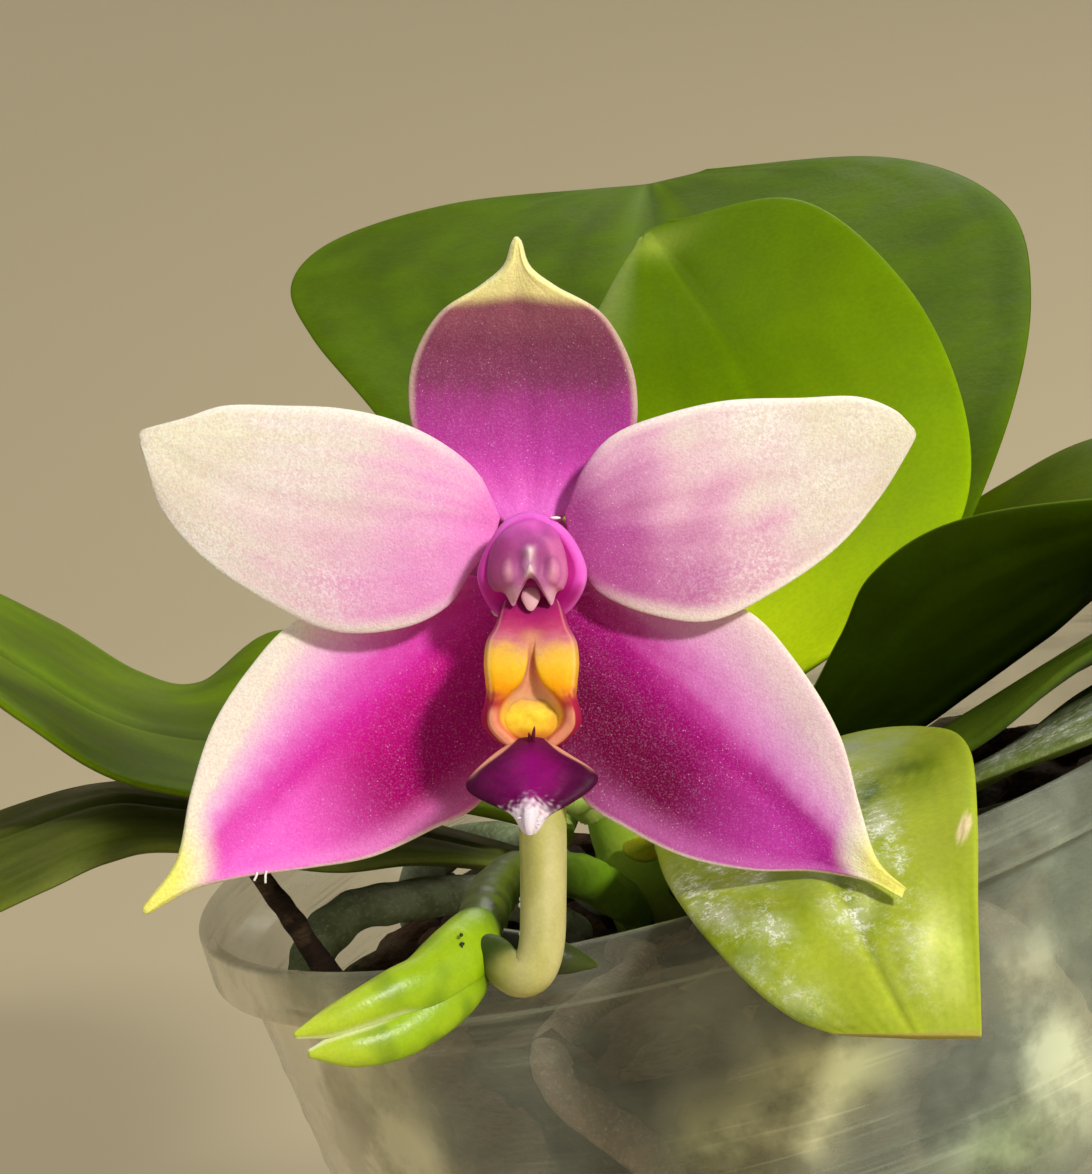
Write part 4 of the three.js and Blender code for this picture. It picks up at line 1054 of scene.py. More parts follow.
def make_leaves():
    paint = leaf_paint("leaf_skin", 0.42)
    # A lit copy of the leaf skin for the leaves in sunlight, letting more light through and with less
    # mottle: painted light.
    sunlit_paint = leaf_paint("leaf_skin_lit", 0.4, depth=0.35, mottle=0.2)
    reach = STEM_RADIUS + CLASP_GAP
    for seed, (name, facts) in enumerate(LEAVES.items()):
        edges = []
        for edge, sign, lift in (("left", 1, 0.8), ("spine", 0, 0), ("right", -1, 0.8)):
            angle = math.radians(facts["turn"] + sign * facts.get("clasp", CLASP_SPREAD))
            x, y = STEM[0] + reach * math.cos(angle), STEM[1] + reach * math.sin(angle)
            edges.append([[x, y, facts["height"] + lift], *facts[edge]])
        rings, along, across, face = blade(*edges, LEAF_GRID, LEAF_THICKNESS, facts["fold"], leaf_relief,
                                           facts.get("tip", 0.2))
        colours = leaf_colours(facts, rings, along, across, face, seed * 10)
        if name == "leaf_bright":
            colours = bright_leaf_colours(colours, along, across, face)
        if facts.get("cut"):
            colours = foot_glow(colours, rings)
        lit = facts["slot"] == "leaf_bright"
        dust_and_sheen = leaf_dust_and_sheen(facts, along, across, face)
        shape = Shape().add(rings, colours, "zip", dust_and_sheen=dust_and_sheen)
        shape.build(name + "_skin", sunlit_paint if lit else paint, facts["slot"], name)


# The sepals and petals, in the flower's frame; the margins stand `cup` in front of the spine

SEPALS = {
    "sepal_dorsal": {
        "cup": 0.8,
        "left": [
            [-1.4, 4.6], [-4.5, 7.6], [-7.4, 10.5], [-8, 13.5], [-7.5, 16.2],
            [-5.9, 18.7], [-3.4, 20.2], [-1.7, 21.5], [-1.1, 23.2],
        ],
        "spine": [
            [0, 4.6, -1.7], [0, 7.6, -2.6], [-0.3, 10.5, -3.2], [-0.4, 13.5, -3.3], [-0.6, 16.3, -2.8],
            [-0.7, 18.6, -1.8], [-0.9, 20.1, -0.8], [-0.9, 21.5, 0.2], [-0.9, 23.4, 1.2],
        ],
        "right": [
            [1.4, 4.6], [4.4, 7.6], [6.7, 10.5], [7, 13.5], [6.3, 16.2],
            [4.6, 18.7], [1.8, 20.2], [0, 21.5], [-0.6, 23.2],
        ],
    },
    "sepal_left": {
        "cup": 0.6,
        "hairs": [
            [[-17.85, -17.85, -1.4], [-17.9, -18.1, -1.3], [-18.05, -18.4, -1.3]],
            [[-17.25, -17.75, -1.4], [-17.3, -18.1, -1.3], [-17.3, -18.55, -1.3]],
        ],
        "wedge": (((-6.05, -2.4), (-21.1, -16.8)), 1, "a20066", "ff70dc", "ee5cc8", "f792dc", (
            (-2, "c81086"), (0, "d92aa8"), (1.1, "e254bc"), (2.3, "ec84d2"), (3.4, "f2acde"),
            (4.4, "f3cade"),
            (5.6, "f4ead8"),
        )),
        "left": [
            [-0.8, -1.5], [-0.9, -7.9], [-3.1, -13.1], [-6.6, -15.2], [-10.4, -16.9],
            [-14.4, -17.6], [-18.4, -18.1], [-22, -18.9], [-24.9, -20.5],
        ],
        "spine": [
            [-1.4, -0.2, -1.5], [-4.3, -2.6, -2.4], [-7.2, -5.9, -2.6], [-10.5, -8.9, -2.7],
            [-13.8, -11.5, -2.6],
            [-17.1, -13.9, -2.3], [-20, -16.1, -1.9], [-22.5, -18.2, -1.3], [-25.2, -20.4, -0.5],
        ],
        "right": [
            [-1.8, 1.2], [-5.3, 1.6], [-10.5, 0.6], [-15.4, -1.4], [-18.4, -4.5],
            [-20.8, -8.3], [-22.2, -12.6], [-23.1, -17], [-25.2, -20],
        ],
    },
    "sepal_right": {
        "cup": 0.6,
        # Outside the line this sepal's colours are duller and greyer than the left sepal's: painted shade.
        "wedge": (((7.2, -3.3), (19.6, -16.2)), -1, "6c003c", "c03ca2", "a8208a", "d070ba", (
            (-2, "96056a"), (-0.6, "a8147e"), (0.2, "bc3898"), (1.1, "d070ba"), (2.3, "dc94ca"),
            (3.4, "dfa8cc"),
            (4.4, "e0b6cc"), (5.6, "e6cbcc"),
        )),
        "left": [
            [1.9, 1.2], [5.2, 1.3], [9.8, 0.3], [14.3, -0.8], [17.7, -4.5],
            [20.2, -8.9], [21.4, -13.4], [22.4, -16.8], [24.2, -18.6],
        ],
        "spine": [
            [1.5, -0.2, -1.5], [4.3, -2.6, -2.4], [7.2, -5.9, -2.6], [10.5, -8.9, -2.7],
            [13.8, -11.5, -2.6],
            [16.9, -13.8, -1.5], [19.5, -15.8, -0.6], [21.8, -17.3, 1.1], [24, -18.8, 2.4],
        ],
        "right": [
            [0.8, -1.5], [1.0, -7.9], [3.3, -12.9], [6.2, -15], [10.1, -16.9],
            [14.4, -17.7], [18.4, -17.7], [21.7, -18.2], [23.9, -19.2],
        ],
    },
}
PETALS = {
    "petal_left": {
        "cup": -0.5, "low_side": -1, "flush_and_shade": ("eec2d2", "ee96d2", "ee7cc8"), "shade": 1.0,
        "left": [
            [-2.6, 3.2], [-3.8, 1.8], [-5.4, -0.5], [-8.4, -1.9], [-12.7, -2.1],
            [-16.9, -0.3], [-21.2, 2.6], [-24.1, 6], [-25.3, 10.1],
        ],
        "spine": [
            [-2.3, 4.4, 0], [-4.4, 4.9, 0.8], [-7.1, 5, 1], [-10.3, 5.3, 0.8], [-13.6, 5.7, 0.4],
            [-17.2, 6.4, 0], [-20.7, 7.7, -0.3], [-23.4, 9.3, -0.5], [-25.5, 10.7, -0.6],
        ],
        "right": [
            [-2, 5.4], [-3.4, 8.2], [-5.8, 10.2], [-8.8, 11.6], [-12.3, 12.4],
            [-16.3, 12.6], [-19.9, 12.6], [-22.5, 11.8], [-25.1, 11.1],
        ],
    },
    "petal_right": {
        # Its flush is painted deeper and its cream dimmed by a tenth: painted shade.
        "cup": -0.5, "low_side": 1, "flush_and_shade": ("dca6c0", "b24c96", "aa468e"), "shade": 0.9,
        "left": [
            [2.3, 5.7], [3.4, 8.4], [5.3, 10.6], [8.4, 11.9], [12.7, 12.9],
            [17.6, 13.1], [21.2, 13.2], [23.6, 12.4], [24.9, 11.2],
        ],
        "spine": [
            [2.5, 4.7, 0], [4.5, 5.2, 0.8], [7.1, 5.7, 1], [10.4, 6.3, 0.8], [13.9, 7, 0.4],
            [17.5, 7.8, 0], [20.8, 8.8, -0.3], [23.3, 9.8, -0.5], [25.1, 10.7, -0.6],
        ],
        "right": [
            [2.7, 3.6], [3.4, 2.1], [4.5, 0.4], [7.8, -1], [11.8, -1.4],
            [15.9, 0.5], [19.9, 3.3], [22.8, 6.7], [24.9, 10.2],
        ],
    },
}
CREAM = tint("f4ecd0")


def tepal_relief(along, across, width, front):
    """Lengthwise veins, a shallow channel over the midrib, and a soft unevenness that both faces share."""
    veins = 0.006 * np.sin(across * 34 + 2 * np.sin(along * 4)) * front
    channel = -0.12 * bell(np.abs(across) * width, 0, 0.7) * front
    wave = 0.16 * np.sin(along * 11 + across * 4) * np.abs(across) ** 3
    return (veins + channel) * (1 - rise(along, 0.85, 1)) + wave * rise(along, 0.1, 0.4)


def streaks(seed, along, across, fine=0.35):
    """Noise drawn out along the blade."""
    return waves(seed, np.stack([across * 2.4, along * 0.5], -1), fine, 14)


def petal_colours(places, along, across, seed, low_side, flush_and_shade, shade):
    """Cream at the outer end and the upper margin, flushed with pink near the base and the lower margin."""
    lines = streaks(seed, along, across, 0.5)
    cloud = waves(seed + 1, places, 5)
    reach = along - 0.16 * low_side * across + 0.03 * lines + 0.05 * cloud
    pale, tone, deep = flush_and_shade
    # The shade factor dims the cream; below 1 on the right petal it is painted shade.
    colours = ramp(reach, (0.5, "ecd8d0"), (0.66, "ebdfd0"), (0.8, "e8dfc4"), (1.0, "eae5c4")) * shade
    colours = over(colours, pale, 1 - rise(reach, 0.34, 0.62))
    colours = over(colours, tone, 0.95 * (1 - rise(reach, 0.06, 0.46)))
    colours = over(colours, deep, 0.85 * (1 - rise(along, 0.0, 0.22)))
    low_margin = rise(low_side * across, 0.2, 0.9) * (1 - rise(along, 0.3, 0.62))
    colours = over(colours, tone, 0.7 * low_margin)
    return over(colours, "fffae6", 0.75 * rise(np.abs(across), 0.84, 0.98) * rise(along, 0.15, 0.4))


def lateral_colours(places, along, across, seed, boundary, outer, deep, low, verge, hem, stops):
    """A deep wedge on the inner side of a line, pale outside it, with a cream edge and a yellow tip."""
    (x0, y0), (x1, y1) = boundary
    length = math.hypot(x1 - x0, y1 - y0)
    away = ((places[..., 0] - x0) * (y1 - y0) - (places[..., 1] - y0) * (x1 - x0)) / length * outer
    away = away + 0.25 * streaks(seed, along, across, 0.5) * (1 - rise(along, 0.3, 0.55))
    away = away + 0.1 * waves(seed, places, 0.9)
    spread = 1.25 - 0.8 * rise(along, 0.25, 0.85)
    outside = np.where(away > 0, away / spread, away)
    colours = ramp(outside, *stops)
    colours = over(colours, deep, (1 - rise(outside, -5, -0.8)) * (1 - rise(along, 0.35, 0.85)))
    # Lighter towards the tip on the inner side: partly the sepal's colour, partly a painted sheen of light.
    colours = over(colours, low, 0.9 * (1 - rise(outside, -1.5, 0)) * rise(along, 0.38, 0.66))
    colours = over(colours, verge, 0.8 * bell(outside, -0.3, 1.2) * rise(along, 0.5, 0.72))
    colours = over(colours, hem, 0.65 * rise(-outer * across, 0.6, 0.98) * rise(along, 0.15, 0.4))
    colours = over(colours, CREAM, 0.8 * rise(np.abs(across), 0.955, 0.995) * rise(along, 0.2, 0.4))
    colours = over(colours, CREAM, rise(along + 0.05 * outer * across, 0.75, 0.84))
    return over(colours, "f4f274", rise(along + 0.03 * outer * across, 0.8, 0.92))


def dorsal_colours(places, along, across, seed):
    height = places[..., 1] + 0.25 * streaks(seed, along, across, 0.4)
    # Bright magenta low down, darker and duller up the sepal: partly its colour, partly painted shade over
    # the upper half.
    colours = ramp(height, (6.0, "e870d0"), (7.4, "dc5cbc"), (8.6, "cc46ac"), (9.8, "ba3c9c"),
                   (12.1, "aa3a8c"), (13.3, "9e3a7e"), (14.4, "863a62"), (16.8, "823f59"), (19.0, "985866"))
    colours = over(colours, "d9bda8", 0.8 * rise(np.abs(across), 0.93, 0.99) * rise(along, 0.2, 0.35))
    return over(colours, "fffaa4", rise(places[..., 1] + 0.5 * np.abs(across), 19.2, 20.4))


def back_colours(colours, face):
    """The backs are paler and greener than the fronts."""
    pale = over(colours, "e6dfc8", np.full(face.shape, 0.6))
    return np.where(face[..., None] > 0, colours, pale)


def make_tepals():
    soft = petal_paint("petal_skin", 1.0, 0.2)
    deep = petal_paint("sepal_skin", 0.75, 0.14)
    for seed, (name, outline) in enumerate((SEPALS | PETALS).items()):
        spine = outline["spine"]
        rim = [place[2] + outline["cup"] * math.sin(math.pi * (i / (len(spine) - 1)) ** 0.8)
               for i, place in enumerate(spine)]
        left, right = ([[*place, z] for place, z in zip(outline[edge], rim)] for edge in ("left", "right"))
        rings, along, across, face = blade(left, spine, right, TEPAL_GRID, TEPAL_THICKNESS, 0.15,
                                           tepal_relief)
        if name in PETALS:
            colours = petal_colours(rings, along, across, seed + 60, outline["low_side"], outline["flush_and_shade"],
                                    outline["shade"])
        elif name == "sepal_dorsal":
            colours = dorsal_colours(rings, along, across, seed + 60)
        else:
            colours = lateral_colours(rings, along, across, seed + 60, *outline["wedge"])
        slot = "petal" if name in PETALS else "dorsal_sepal" if name == "sepal_dorsal" else "lateral_sepal"
        # Painted glitter on the outer part of the petals only.
        glitter_sheen = 0.4 * rise(along, 0.3, 0.55) * (0.6 + 0.4 * waves(seed, rings, 7)) * (name in PETALS)
        shape = Shape().add(in_flower(rings), back_colours(colours, face), "zip", dust_and_sheen=np.clip(glitter_sheen, 0, 1))
        for hair in outline.get("hairs", ()):
            strand, share, _ = tube(hair, 0.08, 8, 8)
            shape.add(in_flower(strand), plain("fbf8ee", share))
        shape.build(name + "_skin", soft if name in PETALS else deep, slot, name)


# The column: a hood, recessed in front, over the anther cap

HOOD_OUTLINE = [
    [-2.2, -0.9], [-3.1, 0.5], [-3.3, 1.9], [-2.5, 3.8], [-1.5, 5.05], [0, 5.6], [1.6, 5],
    [2.8, 3.8], [3.6, 1.9], [3.3, 0.4], [2.3, -0.9], [1.2, -1], [0.1, -1], [-1.1, -1],
]
CAP_OUTLINE = [
    [-2.7, 1.5], [-2.45, 3.2], [-1.5, 4.55], [0, 5.1], [1.4, 4.6], [2.1, 3.4], [2.4, 1.75], [2.15, 0.75],
    [1.7, 0.45], [1.35, -0.35], [0.8, 0.45], [0.05, 1.35], [-0.6, 0.45], [-1.05, -0.4], [-1.6, 0.4],
    [-2.3, 0.6],
]
HOOD_LEVELS = [
    [-1, 0.95], [-0.2, 1], [0.9, 0.86], [2, 0.88], [3, 1], [3.9, 1], [4.35, 0.93], [4.45, 0.82],
    [4.4, 0.7], [4.3, 0.2],
]
CAP_LEVELS = [[3.2, 0.85], [4.2, 1], [4.9, 0.98], [5.35, 0.86], [5.7, 0.62], [5.8, 0.2]]
HEART_HEIGHT = 2.4
ROSTELLUM = [[0.05, 1.6, 3.5], [0.05, 0.6, 4.1], [0.05, -0.2, 4.5], [0.05, -0.75, 4.6]]


def stacked(outline, levels, sides, steps):
    """An outline drawn at each level of z, at its own size about the heart of the column."""
    share = np.linspace(0, 1, sides, endpoint=False)
    around = round_route(outline, share) - [0, HEART_HEIGHT]
    z, scale = np.asarray(route(levels, np.linspace(0, 1, steps))).T
    level = around[None] * scale[:, None, None]
    return np.concatenate([level, z[:, None, None] + 0 * level[..., :1]], -1) + [0, HEART_HEIGHT, 0]


def make_column():
    wax = wax_paint("column_flesh", 0.45, 0.3)
    hood = stacked(HOOD_OUTLINE, HOOD_LEVELS, 96, 72)
    level = np.linspace(0, 1, 72)[:, None] + 0 * hood[..., 0]
    y = hood[..., 1]
    hood[..., 2] -= 1.4 * (1 - rise(y, -0.9, 1.2)) * rise(hood[..., 2], 1, 3.5)
    # Darker towards the recess round the cap: painted shade.
    colours = ramp(level, (0, "e88ccb"), (0.2, "dd6cbd"), (0.45, "e060cc"), (0.6, "ee72da"),
                   (0.75, "e054c4"), (0.84, "c02890"), (1, "980f68"))
    # Darker magenta on the left of the front: painted shade on the side away from the light.
    colours = over(colours, "cc2c9c", 0.8 * rise(-hood[..., 0], 1.4, 2.8) * rise(level, 0.4, 0.6))
    colours = over(colours, "b40c88", 0.85 * rise(level, 0.55, 0.7) * (1 - rise(y, 0.2, 1.8)))
    # Deep magenta on the lower back, matched to the shaded sepal bases beside it: painted shade.
    colours = over(colours, "b51a7c", (1 - rise(level, 0.3, 0.45)) * (1 - rise(y, 1.2, 3.4)))
    shape = Shape().add(in_flower(hood), colours)
    # A drop on the hood, painted white as its highlight.
    dew_glint = ball([1.62, 5.2, 4.2], [0.34, 0.1, 0.16])
    shape.add(in_flower(dew_glint), plain("ffffff", dew_glint[..., 0]))
    shape.build("column_hood", wax, "column_magenta", "column")

    cap = stacked(CAP_OUTLINE, CAP_LEVELS, 144, 56)
    x, y = cap[..., 0], cap[..., 1]
    front = rise(cap[..., 2], 4.3, 5.2)
    side = np.abs(x - 0.05)
    keel = bell(x, 0.0, 0.3) * rise(y, 1.0, 1.8) * (1 - rise(y, 3.1, 3.6))
    from_pollinia = np.hypot((side - 1.4) / 0.34, (y - 1.8) / 0.6)
    pollinia = bell(from_pollinia, 0, 1)
    hollow = bell(np.hypot((side - 0.8) / 0.4, (y - 2.3) / 0.8), 0, 1)
    teeth = (1 - rise(y, 0.2, 1.1)) * bell(side, 1.2, 0.5)
    cap[..., 2] += front * (0.4 * keel + 0.16 * pollinia - 0.3 * hollow - 0.5 * (1 - rise(y, -0.4, 1.2)))
    colours = ramp(y + 0.15 * waves(41, cap, 1.1), (0, "c084a6"), (1.4, "ac5a8c"), (2.8, "a4488a"),
                   (4, "b04a96"), (5, "d85cba"))
    # Lighter on the right and darker on the left: painted light and shade.
    colours = over(colours, "e87cb8", 0.5 * rise(x, 0.4, 1.6) * (1 - rise(y, 3.4, 4.4)))
    colours = over(colours, "9c2c68", 0.5 * rise(-x, 0.6, 1.8) * (1 - rise(y, 3.4, 4.4)))
    colours = over(colours, "edd0d8", 0.95 * keel * front)
    colours = over(colours, "dcaab4", 0.55 * pollinia * front)
    colours = over(colours, "7c2c66", 0.3 * bell(from_pollinia, 1.5, 0.25) * front)
    colours = over(colours, "a94f8c", 0.6 * hollow * front)
    colours = over(colours, "e6b9cb", 0.8 * teeth)
    shape = Shape().add(in_flower(cap), colours)
    size = lambda s: (0.8 + 0.35 * bell(s, 0.65, 0.2)) * np.sqrt(np.clip(1 - s**6, 0.01, 1))
    tongue, share, _ = tube(ROSTELLUM, 0.55, 24, 30, slim=0.22, face=[0, 0, 1], size=size)
    shape.add(in_flower(tongue), over(plain("b0508e", share), "d9a9b2", rise(share, 0.25, 0.6)))
    shape.build("anther_cap_skin", wax, "anther_mauve", "anther_cap")


# The lip: a trough with two side lobes, the callus with its forked tip, and the anchor-shaped midlobe

# For each level: y, half width, back, front, half the slot's width and the slot's depth
LIP_LEVELS = [
    [0.6, 1.6, 0.8, 3.5, 0.4, 0], [-0.5, 1.95, 0.6, 4.0, 0.4, 0], [-1.7, 2.3, 0.7, 4.9, 0.4, 0],
    [-2.7, 2.8, 0.9, 5.9, 0.3, 0.1], [-4.0, 2.95, 1.0, 6.5, 0.3, 0.8], [-5.2, 2.85, 1.2, 6.7, 0.7, 1.2],
    [-6.0, 2.8, 1.4, 6.6, 1.45, 1.3], [-6.7, 2.95, 1.5, 6.4, 2.0, 1.3], [-7.4, 3.1, 1.8, 6.2, 2.15, 1.4],
    [-8.1, 3.0, 2.2, 5.9, 1.9, 1.3], [-8.9, 2.3, 2.9, 5.6, 1.1, 0.9], [-9.6, 1.2, 3.8, 5.4, 0.4, 0.3],
]
LIP_SHIFT = 0.1
# The midlobe's two margins and its keel, from the callus to the white tip
MIDLOBE = {
    "left": [
        [-1, -9.2, 4.9], [-2.4, -10, 5.7], [-3.9, -11.4, 6.8], [-3.7, -12.2, 7.3],
        [-2.2, -12.9, 8], [-1, -13.4, 8.7], [-0.3, -14.5, 9.1],
    ],
    "spine": [
        [0.1, -9, 5.3], [0.1, -9.8, 6.4], [0.1, -10.7, 7.4], [0.1, -11.6, 8.2],
        [0, -12.5, 8.9], [0, -13.4, 9.3], [0, -14.6, 9.3],
    ],
    "right": [
        [1.1, -9.2, 4.9], [2.6, -10, 5.7], [4.2, -11, 6.8], [4, -11.8, 7.3],
        [2.5, -12.8, 8], [1.1, -13.5, 8.7], [0.4, -14.5, 9.1],
    ],
}


def lip_outline(y, half, back, front, slot, depth):
    """One level of the lip, from above: flanks, the rolled front of each lobe, and the slot between."""
    waist = (back + front) / 2
    side = [
        [half * 0.6, back + 0.2], [half, waist], [half * 0.98, front - 0.6], [half * 0.86, front - 0.1],
        [(half + slot) / 2, front], [slot + 0.1, front - 0.1 * depth], [slot * 0.8, front - 0.6 * depth],
        [slot * 0.5, front - depth],
    ]
    mirrored = [[-x, z] for x, z in side][::-1]
    return [[x + LIP_SHIFT, y, z] for x, z in [[0, back], *side, [0, front - depth], *mirrored]]


def lip_colours(places, half, front, slot):
    """Magenta at the top, then the yellow lobes, and the red flanks and peach rim of the cup."""
    down = -places[..., 1]
    side = np.abs(places[..., 0] - LIP_SHIFT)
    noise = waves(21, places, 0.5, 12)
    drop = down - 0.4 * bell(side, 0, 1.1) + 0.1 * noise
    # Darkest magenta at the top, just under the column: partly the lip's colour, partly painted shade.
    colours = ramp(drop, (0, "8c1060"), (0.9, "ac2466"), (1.7, "c04470"), (2.3, "cc6a80"),
                   (2.75, "dc9c6c"), (3.2, "ecb648"), (4.3, "f8bc20"), (5.4, "f8a808"), (6.0, "f08c1c"),
                   (6.6, "d8553c"), (8, "cc4a44"))
    throat = bell(side, 0, 0.8) * (1 - rise(down, 2.6, 4.4)) * rise(down, 1.6, 2.4)
    colours = over(colours, "d89a68", 0.7 * throat)
    flank = rise(side / half, 0.55, 0.95)
    colours = over(colours, "a81c44", rise(down + 0.2 * noise, 5.3, 6.5) * flank)
    colours = over(colours, "9c1c4c", 0.85 * (1 - rise(places[..., 2], front - 3.4, front - 1.4)))
    rim = bell(places[..., 2], front - 0.05, 0.3) * (side < half * 0.9)
    colours = over(colours, "f2a37e", 0.85 * rim * rise(down, 6.5, 7.3))
    inner = rise(front - places[..., 2], 0.25, 0.7) * (side < slot + 0.2)
    peach = ramp(down, (3, "cc8260"), (5.2, "e6a078"), (6.1, "f0b084"), (6.7, "f6b860"), (7.3, "fac444"),
                 (8.1, "f6ac40"), (8.8, "ee8c50"))
    colours = over(colours, peach, inner)
    # A thin pale line along each lobe's rolled front: painted highlight.
    edge = bell(side / half, 0.92, 0.03) * bell(places[..., 2], front - 0.3, 0.35)
    return over(colours, "f4d6b4", 0.25 * edge * (1 - rise(down, 5.6, 6.4)))


def callus_colours(places):
    speckle = rise(waves(23, places, 0.35, 12), 0.6, 1.4)
    colours = ramp(-places[..., 1], (6.2, "f0ac60"), (6.7, "ffc848"), (7.3, "ffdc3c"), (8.1, "ffcc34"),
                   (8.6, "f0902c"))
    colours = over(colours, "f49c38", 0.6 * rise(np.abs(places[..., 0] - LIP_SHIFT + 0.2), 0.8, 1.9))
    away = np.hypot((places[..., 0] - LIP_SHIFT) / 2.3, (places[..., 1] + 7.5) / 1.4)
    return over(over(colours, "e88a28", 0.15 * speckle), "f4aa4c", 0.8 * rise(away, 0.65, 1.05))


def midlobe_relief(along, across, width, front):
    """A keel towards the tip, with a shallow dish on either side of it."""
    keel = 0.3 * bell(across, 0, 0.25) * rise(along, 0.4, 0.85)
    dish = 0.4 * bell(np.abs(across), 0.5, 0.25) * rise(along, 0.1, 0.45) * (1 - rise(along, 0.6, 0.8))
    return (keel - dish) * (front > 0)


def midlobe_colours(places, along, across):
    noise = waves(25, places, 0.4, 12)
    side = np.abs(across) + 0.06 * noise
    colours = ramp(side, (0.0, "88006a"), (0.3, "7a005c"), (0.6, "58003e"), (0.85, "44002e"))
    colours = over(colours, "5a0c3c", 0.8 * (1 - rise(along, 0.05, 0.3)))
    peach = (1 - rise(along, 0.25, 0.37)) * rise(np.abs(across) - 0.22 * rise(along, 0.1, 0.32), 0.6, 0.72)
    colours = over(colours, "e9a483", 0.9 * peach)
    white = rise(along + 0.05 * noise - 0.1 * np.abs(across), 0.62, 0.82)
    return over(colours, "f7e6f1", 0.95 * white)


def make_lip():
    wax = wax_paint("lip_flesh", 0.5, 0.3, 0.12)
    levels = route(LIP_LEVELS, np.linspace(0, 1, 96))
    around = np.linspace(0, 1, 144, endpoint=False)
    trough = np.stack([round_route(lip_outline(*level), around) for level in levels])
    half, front, slot = (levels[:, k][:, None] for k in (1, 3, 4))
    shape = Shape().add(in_flower(trough), lip_colours(trough, half, front, slot))

    callus = ball([LIP_SHIFT, -7.5, 4.95], [2.35, 1.42, 0.42], 72, 48)
    callus[..., 2] += 0.03 * waves(22, callus, 0.6, 12) * rise(callus[..., 2], 4.9, 5.3)
    shape.add(in_flower(callus), callus_colours(callus))

    for reach in (-1, 1):
        prong = [[LIP_SHIFT + 0.08 * reach, -9.3, 5.4], [LIP_SHIFT + 0.1 * reach, -8.9, 5.9],
                 [LIP_SHIFT + 0.13 * reach, -8.55, 6.2], [LIP_SHIFT + 0.2 * reach, -8.2 + 0.2 * reach, 6.3]]
        rings, share, _ = tube(prong, 0.17, 12, 20, size=lambda s: np.sqrt(np.clip(1 - s**2, 0.02, 1)))
        shape.add(in_flower(rings), over(plain("7a1c3c", share), "4a0f2a", share))

    edges = [MIDLOBE[edge] for edge in ("right", "spine", "left")]
    rings, along, across, face = blade(*edges, (90, 64), 0.8, 0.5, midlobe_relief, 0.5)
    tone = midlobe_colours(rings, along, across)
    shape.add(in_flower(rings), np.where(face[..., None] > 0, tone, tint("a04a78")), "zip")
    draw = np.random.default_rng(27)
    for _ in range(30):
        root = np.array([draw.normal(0.05, 0.25), draw.uniform(-14.4, -13.2), 9.45])
        bend, end = draw.normal(0, 0.12, 2), draw.normal(0, 0.22, 2)
        fuzz = [root - [0, 0, 0.5], root + [*bend, 0.05], root + [*end, 0.2]]
        rings, share, _ = tube(fuzz, 0.08, 6, 6, size=lambda s: 1 - 0.5 * s)
        shape.add(in_flower(rings), plain("fbf3f6", share))
    shape.build("lip_flesh", wax, "lip_yellow", "lip")


# The pedicel and the spike

PEDICEL_ROUTE = [
    [-4.4, -23.8, -3.3], [-2.7, -23.2, -2.9], [-1.7, -24.1, -2.2], [-0.7, -24.6, -1.7],
    [0.2, -24.2, -1.5],
    [0.75, -22.5, -1.8], [0.85, -19.1, -2.8], [0.8, -14.6, -4.6], [0.6, -9.3, -5.6], [0.3, -4, -5.4],
    [0.1, 0.4, -4.2], [0, 1.6, -2.4],
]
FLUFF_PLACES = ([-0.62, -19.7, -2.4], [-0.66, -20.1, -2.3], [-0.64, -21.9, -1.8], [-0.6, -22.2, -1.7])
NECK_ROUTE = [
    [-0.3, 2.1, -2.4], [-0.3, 2.1, -2.8], [-0.28, 2, -3.3], [-0.15, 1.2, -4.2], [0.1, -0.9, -5],
    [0.28, -3.6, -5.4],
]
NECK_RADII = [3.9, 4.2, 3.8, 2.5, 1.75, 1.46]
STALK_ROUTE = [
    [-8.6, -6.9, 73], [-9.2, -8, 75.2], [-11.8, -12.5, 79.4], [-15.8, -21, 83.2], [-18, -33, 85.1],
    [-18.9, -43, 85.6],
]
BRACTS = [
    {
        "route": [
            [-18.2, -40.6, 85.5], [-19.1, -43, 85.6], [-20.3, -44.9, 85.1], [-21.7, -46.4, 84.7],
            [-23.2, -47.9, 84.7],
            [-24.9, -49.2, 85.1], [-27.2, -50.3, 85.1], [-29.5, -51, 85], [-31.8, -51.5, 85],
        ],
        "radii": [1.0, 1.85, 2.3, 2.35, 2.0, 1.55, 1.25, 0.9, 0.15], "slit": 1,
    },
    {
        "route": [
            [-19.9, -44.2, 85], [-21.3, -45.9, 83.9], [-22.9, -47.5, 83.1], [-24.6, -48.9, 82.6],
            [-26.4, -50, 82.5], [-28.3, -50.8, 82.8], [-29.9, -51.2, 83.2], [-31.3, -51.5, 83.5],
        ],
        "radii": [1.9, 2.25, 2.15, 1.85, 1.6, 1.4, 1.05, 0.2], "slit": -1,
    },
    {
        "route": [[-17.9, -43, 84.4], [-15.5, -43.4, 83.1], [-13.4, -43.3, 81.9], [-12.1, -43, 81.1]],
        "radii": [1.2, 1.3, 1.0, 0.1], "slit": 1,
    },
]
BRACT_DEPTH = 0.8
SPECKS_PLACE = np.array([-20.2, -46.7, 86.1])
FLUFF_PLACE = np.array([-23.3, -48.6, 81.7])
TOWARD_VIEWER = [0, -0.98, 0.17]


